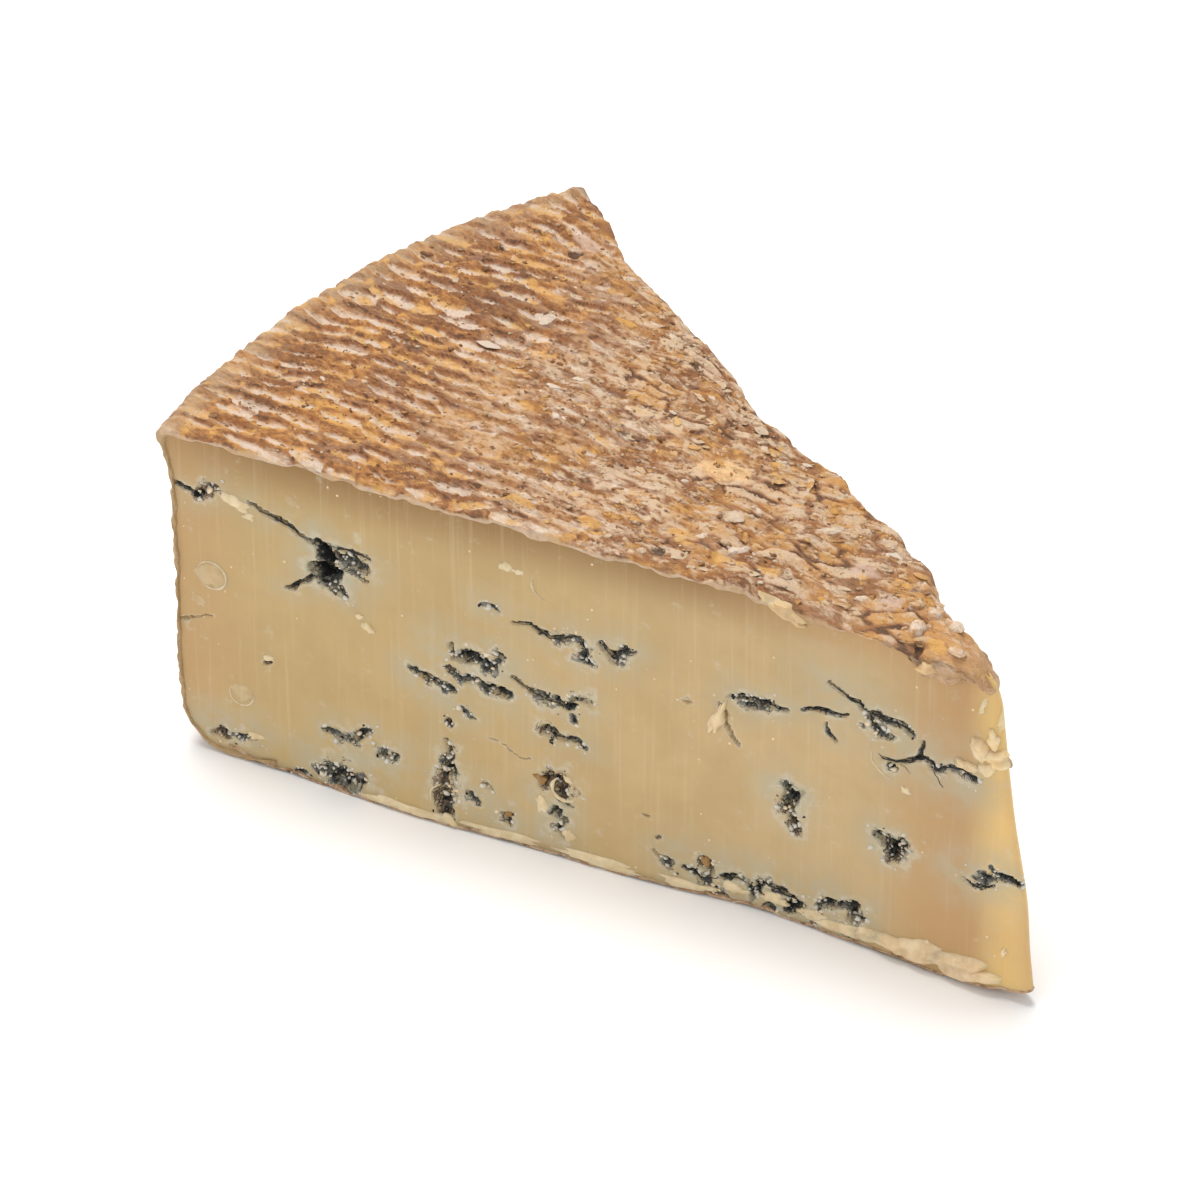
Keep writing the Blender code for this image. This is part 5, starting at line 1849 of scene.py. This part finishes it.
def rind_material(looks):
    """Dry crust: brown and orange strands, cracks and crevices darkened with painted shade, pale
    pits with a painted highlight, and waxy plates.

    The fields set the broad pattern, and noise drawn out along the rows mottles it.
    """
    web = Web("blue_cheese_rind")
    rise, noise, field, coat = web.rise, web.noise, web.field, web.coat
    rows = web.stretched((1.0, 2.1, 1.5), -ROW_ANGLE)
    cloud = noise(45, 2)
    patches = noise(110, 3, 0.6, rows)
    mottle = noise(260, 4, 0.6, rows)
    grain = noise(700, 6, 0.68, rows)
    fine = noise(2100, 3, 0.6)
    front = field("front")
    swing = (grain - 0.5) * (front * -0.8 + 2.5)
    hue = field("hue") + (mottle - 0.5) * 1.8
    tone = field("tone") + swing

    # Strands, dull patches, dust, gold spots and waxy plates.
    web.colour = web.mix(rise(tone, -0.1, 0.5), looks.rind_umber, looks.rind_brown)
    coat(rise(tone, 0.40, 0.95), looks.rind_orange)
    coat(rise(cloud, 0.28, 0.44, 0.45, 0.0), looks.rind_umber)
    coat(rise(patches + swing * 0.12, 0.46, 0.62, 0.0, 0.40), looks.rind_mauve)
    coat(rise(tone + (cloud - 0.5), 0.80, 1.30, 0.0, 0.60), looks.rind_tan)
    coat(rise(hue, 0.80, 1.10, 0.0, 0.75), looks.rind_gold)
    lift = tone + (0.55 - hue) * 0.8 + (patches - 0.5)
    plate = rise(lift, 0.32, 0.95) * rise(front, 0.0, 0.7, 0.0, 0.90)
    coat(plate, looks.rind_beige)

    # Pits with their painted highlight, warm patches, and painted shade in the crevices.
    # The pit field holds the pale pits and their painted highlight along the near edge.
    ragged_pit = field("pit") + swing * 0.30
    pit_colour = web.mix(rise(hue, 0.45, 0.85, 0.0, 0.85), looks.rind_pale, looks.rind_gold)
    coat(rise(ragged_pit, 0.18, 0.66, 0.0, 0.80), pit_colour)
    warm = rise(cloud, 0.46, 0.60, 0.0, 0.9) * rise(mottle, 0.38, 0.58)
    coat(warm * front, looks.rind_peach)
    # Painted shade: rust brown, then near black, where the crevice field is high; the rust is
    # partly the crust's own colour in its cracks.
    crevice = (field("crevice") + swing * 0.35) * rise(patches, 0.38, 0.60, 0.45, 1.35)
    coat(rise(crevice, 0.12, 0.70, 0.0, 0.75), looks.rind_rust)
    crevice = crevice * (field("tip") * -0.4 + 1.0)
    coat(rise(crevice, 0.60, 1.15, 0.0, 0.80), looks.crevice)
    # Random dark specks, in the same dark colour as the painted crevice shade.
    coat(rise(fine, 0.62, 0.70, 0.0, 0.14), looks.crevice)

    # The shoulder, the tip and single marks.
    coat(field("shoulder") * rise(mottle, 0.35, 0.6, 0.10, 0.62), looks.rind_shoulder)
    coat(field("tip") * rise(mottle, 0.35, 0.65, 0.25, 0.75), looks.rind_tip)
    coat(rise(field("gold"), 0.20, 0.9, 0.0, 0.60), looks.rind_gold)
    ochre = rise(field("ochre"), 0.1, 0.9) * rise(grain, 0.35, 0.55, 0.5, 0.92)
    coat(ochre, looks.rind_ochre)
    coat(rise(field("lilac"), 0.2, 0.9, 0.0, 0.7), looks.rind_lilac)
    # Dark stains, sunk into the crust, also take the dark colour of the painted crevice shade.
    coat(rise(field("dark"), 0.2, 0.8, 0.0, 0.85), looks.crevice)

    # The lip along the cuts.
    lip_colour = web.mix(rise(mottle, 0.42, 0.58), looks.rind_lip, looks.rind_beige)
    lip_colour = web.mix(field("tip") * 0.75, lip_colour, looks.rind_tip)
    lip_colour = web.mix(field("rim"), lip_colour, looks.rind_rim)
    coat(rise(field("lip") + swing * 0.5, 0.10, 0.55, 0.0, 0.85), lip_colour)

    height = grain + fine * 0.3 + mottle * 0.8
    return web.finish(
        rise(ragged_pit, 0.3, 0.9, 0.50, 0.28) - plate * 0.18,
        web.bump(height, 1.0, 0.0009),
        Subsurface_Weight=0.12,
        Subsurface_Radius=(1.0, 0.5, 0.2),
        Subsurface_Scale=0.0012,
        Specular_IOR_Level=0.5,
    )


# ---------------------------------------------------------------- properties


def colour_property(name, description, default):
    """A colour that the panel shows."""
    looks = {"name": name, "description": description, "default": default}
    return FloatVectorProperty(size=3, min=0.0, max=1.0, subtype="COLOR", **looks)


def stage_property(name, description, default, **limits):
    """A number that the panel shows."""
    return FloatProperty(name=name, description=description, default=default, **limits)


class PasteLooks(bpy.types.PropertyGroup):
    """Colours of the paste and its veins."""

    cream: colour_property("Cream", "Paste towards the tip", (0.565, 0.400, 0.199))
    cream_deep: colour_property("Deep cream", "Paste towards the rim", (0.520, 0.362, 0.155))
    shade: colour_property("Shade", "Darker clouds and knife marks", (0.44, 0.30, 0.13))
    streak: colour_property("Streak", "Pale knife marks and specks", (0.76, 0.62, 0.42))
    # Partly the paste's own colour under the rind, partly painted shade under the crust's lip.
    under_rind: colour_property("Under rind", "Paste just under the rind", (0.265, 0.135, 0.034))
    # Amber: the paste's deeper tint at the rim and in the band under the rind; behind the tip it is
    # a painted glow of light through the thin paste.
    amber: colour_property("Amber", "Translucent paste near the tip", (0.49, 0.280, 0.116))
    # Painted glow of light through the thin paste along the tip.
    tip_glow: colour_property("Tip gold", "Thin paste along the tip", (0.85, 0.56, 0.19))
    haze: colour_property("Haze", "Grey tint round the veins", (0.45, 0.40, 0.272))
    bloom: colour_property("Bloom", "Pale dust at the edge of the veins", (0.60, 0.55, 0.43))
    slate: colour_property("Slate", "Blue-grey mould", (0.078, 0.085, 0.082))
    vein_black: colour_property("Vein black", "Deepest mould", (0.012, 0.013, 0.012))
    vein_grey: colour_property("Grey mould", "Dusty mould inside the veins", (0.30, 0.285, 0.24))
    vein_tan: colour_property("Tan mould", "Dusty brown channels", (0.34, 0.235, 0.15))
    vein_brown: colour_property("Vein brown", "Brown mould", (0.17, 0.115, 0.075))
    crease: colour_property("Crease", "Faint cracks and pinholes", (0.44, 0.29, 0.13))
    grain: colour_property("Grain", "Pale grains of mould", (0.62, 0.585, 0.50))
    smear: colour_property("Smear", "Smeared and crumbled paste", (0.84, 0.65, 0.42))
    seed: IntProperty(name="Seed", description="Where the grains of mould fall", default=5, min=0)


class RindLooks(bpy.types.PropertyGroup):
    """Colours of the rind and how many flakes lie on it."""

    # Painted shade in cracks, crevices and along the far side of the pits; the same colour also
    # paints dark specks and stains.
    crevice: colour_property("Crevice", "Deep cracks and undercuts", (0.070, 0.034, 0.020))
    rind_umber: colour_property("Umber", "Darkest strands", (0.145, 0.062, 0.027))
    rind_brown: colour_property("Brown", "Brown strands", (0.300, 0.123, 0.040))
    rind_orange: colour_property("Orange brown", "Lighter strands", (0.58, 0.26, 0.070))
    rind_rust: colour_property("Rust", "Shallow cracks", (0.36, 0.133, 0.038))
    rind_mauve: colour_property("Mauve brown", "Dull patches", (0.37, 0.235, 0.165))
    rind_tan: colour_property("Tan", "Dry dust", (0.61, 0.40, 0.225))
    rind_beige: colour_property("Beige", "Waxy plates near the tip", (0.765, 0.570, 0.390))
    rind_pale: colour_property("Pale", "Pits between the strands", (0.90, 0.74, 0.60))
    rind_gold: colour_property("Gold", "Waxy golden spots", (0.84, 0.46, 0.12))
    rind_ochre: colour_property("Ochre", "Smooth ochre patch", (0.92, 0.60, 0.30))
    rind_lilac: colour_property("Lilac", "Smooth pinkish discs", (0.68, 0.48, 0.38))
    rind_shoulder: colour_property("Shoulder", "Smooth band along the rim", (0.62, 0.43, 0.25))
    rind_tip: colour_property("Tip", "Soft crust of the tip", (0.70, 0.41, 0.20))
    rind_lip: colour_property("Lip", "Cut edge of the crust", (0.70, 0.46, 0.25))
    rind_peach: colour_property("Peach", "Smooth warm patches near the tip", (0.65, 0.330, 0.100))
    rind_rim: colour_property("Rim lip", "Cut edge of the crust at the rim", (0.58, 0.40, 0.20))
    flakes: IntProperty(name="Flakes", description="Flakes on the top", default=420, min=0)
    crumbs: IntProperty(name="Crumbs", description="Crumbs on the top", default=2600, min=0)
    seed: IntProperty(name="Seed", description="Where the flakes fall", default=7, min=0)


class StageLooks(bpy.types.PropertyGroup):
    """Light and camera."""

    sky: stage_property("Sky", "Strength of the even light", 0.62, min=0.0)
    key: stage_property("Key", "Power of the key light", 13.5, min=0.0, unit="POWER")
    fill: stage_property("Fill", "Power of the fill light", 3.0, min=0.0, unit="POWER")
    lens: stage_property("Lens", "Focal length", 210.0, min=1.0, unit="CAMERA")
    azimuth: stage_property("Azimuth", "Camera's turn", math.radians(44.6), subtype="ANGLE")
    elevation: stage_property("Elevation", "Camera's height", math.radians(37.2), subtype="ANGLE")
    distance: stage_property("Distance", "Camera to target", 1.13, min=0.1, unit="LENGTH")


# ---------------------------------------------------------------- operators

FINISHES = {
    "paste": (paste_material, "paste_looks"),
    "mould": (mould_material, "paste_looks"),
    "rind": (rind_material, "rind_looks"),
}


def dress(context, slot, build, *settings):
    """Builds a piece in the finish of its slot, made once, and rides it on the wedge."""
    maker, looks = FINISHES[slot]
    made = bpy.data.materials.get("blue_cheese_" + slot)
    piece = build(made or maker(getattr(context.scene, looks)), *settings)
    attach(piece, "root")
    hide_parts("cheese_wedge")
    return {"FINISHED"}


class CHEESE_OT_paste(bpy.types.Operator):
    """Makes the paste with its veins."""

    bl_idname = "cheese.paste"
    bl_label = "Paste"

    def execute(self, context):
        return dress(context, "paste", build_paste)


class CHEESE_OT_crust(bpy.types.Operator):
    """Makes the crust of the top and the rim."""

    bl_idname = "cheese.crust"
    bl_label = "Crust"

    def execute(self, context):
        return dress(context, "rind", build_crust)


class CHEESE_OT_base(bpy.types.Operator):
    """Makes the rind under the base."""

    bl_idname = "cheese.base"
    bl_label = "Base rind"

    def execute(self, context):
        return dress(context, "rind", build_base)


class CHEESE_OT_flakes(bpy.types.Operator):
    """Scatters flakes over the crust."""

    bl_idname = "cheese.flakes"
    bl_label = "Flakes"

    def execute(self, context):
        looks = context.scene.rind_looks
        return dress(context, "rind", build_flakes, looks.flakes, looks.seed)


class CHEESE_OT_rind_crumbs(bpy.types.Operator):
    """Scatters crumbs over the crust."""

    bl_idname = "cheese.rind_crumbs"
    bl_label = "Rind crumbs"

    def execute(self, context):
        looks = context.scene.rind_looks
        return dress(context, "rind", build_rind_crumbs, looks.crumbs, looks.seed + 1)


class CHEESE_OT_mould(bpy.types.Operator):
    """Lays threads of mould along the cracks and grains in the pockets."""

    bl_idname = "cheese.mould"
    bl_label = "Mould"

    def execute(self, context):
        dress(context, "mould", build_threads)
        return dress(context, "mould", build_mould_crumbs, context.scene.paste_looks.seed)


class CHEESE_OT_smears(bpy.types.Operator):
    """Lays smears and curls of paste on the cut faces."""

    bl_idname = "cheese.smears"
    bl_label = "Smears"

    def execute(self, context):
        return dress(context, "paste", build_smears)


class CHEESE_OT_stage(bpy.types.Operator):
    """Sets the floor, the light and the camera."""

    bl_idname = "cheese.stage"
    bl_label = "Stage"

    def execute(self, context):
        looks = context.scene.stage_looks
        make_floor()
        make_lights(looks)
        make_camera(looks)
        return {"FINISHED"}


TARGET = Vector((HIGH.x - 0.0928, LOW.y + 0.0468, 0.0315))
FLOOR_HALF_SIZE = 4.0
KEY_PLACE, KEY_SIZE, KEY_COLOUR = (-0.28, 0.06, 1.20), 0.70, (1.0, 0.985, 0.96)
FILL_PLACE, FILL_SIZE, FILL_COLOUR = (0.10, -1.10, 0.75), 1.0, (1.0, 0.99, 0.98)


def make_floor():
    """A wide white floor."""
    corners = [(x, y, 0.0) for x, y in ((-1, -1), (1, -1), (1, 1), (-1, 1))]
    corners = [Vector(corner) * FLOOR_HALF_SIZE for corner in corners]
    mesh = bpy.data.meshes.new("floor")
    mesh.from_pydata(corners, [], [(0, 1, 2, 3)])
    web = Web("floor_white")
    web.shader.inputs["Base Color"].default_value = (0.93, 0.93, 0.93, 1.0)
    web.shader.inputs["Roughness"].default_value = 0.9
    web.shader.inputs["Specular IOR Level"].default_value = 0.1
    mesh.materials.append(web.material)
    floor = bpy.data.objects.new("floor", mesh)
    bpy.context.scene.collection.objects.link(floor)


def area_light(name, place, size, power, colour):
    """A square soft light that faces the wedge."""
    data = bpy.data.lights.new(name, "AREA")
    data.shape = "SQUARE"
    data.size = size
    data.energy = power
    data.color = colour
    light = bpy.data.objects.new(name, data)
    bpy.context.scene.collection.objects.link(light)
    light.location = place
    light.rotation_euler = (TARGET - Vector(place)).to_track_quat("-Z", "Y").to_euler()


def make_lights(looks):
    """An even white sky, a soft key light high behind and a wide fill in front."""
    world = bpy.data.worlds.new("studio")
    world.use_nodes = True
    background = world.node_tree.nodes["Background"]
    background.inputs["Color"].default_value = (1.0, 1.0, 1.0, 1.0)
    background.inputs["Strength"].default_value = looks.sky
    bpy.context.scene.world = world
    area_light("key", KEY_PLACE, KEY_SIZE, looks.key, KEY_COLOUR)
    area_light("fill", FILL_PLACE, FILL_SIZE, looks.fill, FILL_COLOUR)


def make_camera(looks):
    """The camera, at its azimuth and elevation round the target."""
    data = bpy.data.cameras.new("camera")
    data.lens = looks.lens
    data.sensor_width = 36.0
    data.clip_end = 20.0
    camera = bpy.data.objects.new("camera", data)
    bpy.context.scene.collection.objects.link(camera)
    turn, rise = looks.azimuth, looks.elevation
    level = math.cos(rise)
    back = Vector((math.sin(turn) * level, -math.cos(turn) * level, math.sin(rise)))
    camera.location = TARGET + back * looks.distance
    camera.rotation_euler = back.to_track_quat("Z", "Y").to_euler()
    scene = bpy.context.scene
    scene.camera = camera
    scene.view_settings.view_transform = "Standard"


class CHEESE_PT_panel(bpy.types.Panel):
    """Lists the steps and the looks."""

    bl_label = "Blue cheese wedge"
    bl_idname = "CHEESE_PT_panel"
    bl_space_type = "VIEW_3D"
    bl_region_type = "UI"
    bl_category = "Cheese"

    def draw(self, context):
        for step in STEPS:
            self.layout.operator(step.bl_idname)
        for name in GROUPS:
            group = getattr(context.scene, name)
            box = self.layout.box()
            for key in group.bl_rna.properties.keys():
                if key not in ("rna_type", "name"):
                    box.prop(group, key)


STEPS = (
    CHEESE_OT_stage,
    CHEESE_OT_paste,
    CHEESE_OT_crust,
    CHEESE_OT_base,
    CHEESE_OT_flakes,
    CHEESE_OT_rind_crumbs,
    CHEESE_OT_mould,
    CHEESE_OT_smears,
)
GROUPS = {"paste_looks": PasteLooks, "rind_looks": RindLooks, "stage_looks": StageLooks}


def register():
    for kind in (*GROUPS.values(), *STEPS, CHEESE_PT_panel):
        bpy.utils.register_class(kind)
    for name, kind in GROUPS.items():
        setattr(bpy.types.Scene, name, PointerProperty(type=kind))


def unregister():
    for name in GROUPS:
        delattr(bpy.types.Scene, name)
    for kind in (CHEESE_PT_panel, *reversed(STEPS), *reversed(tuple(GROUPS.values()))):
        bpy.utils.unregister_class(kind)


def main():
    """Registers the add-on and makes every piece."""
    register()
    for step in STEPS:
        area, verb = step.bl_idname.split(".")
        getattr(getattr(bpy.ops, area), verb)()


if __name__ == "__main__":
    main()
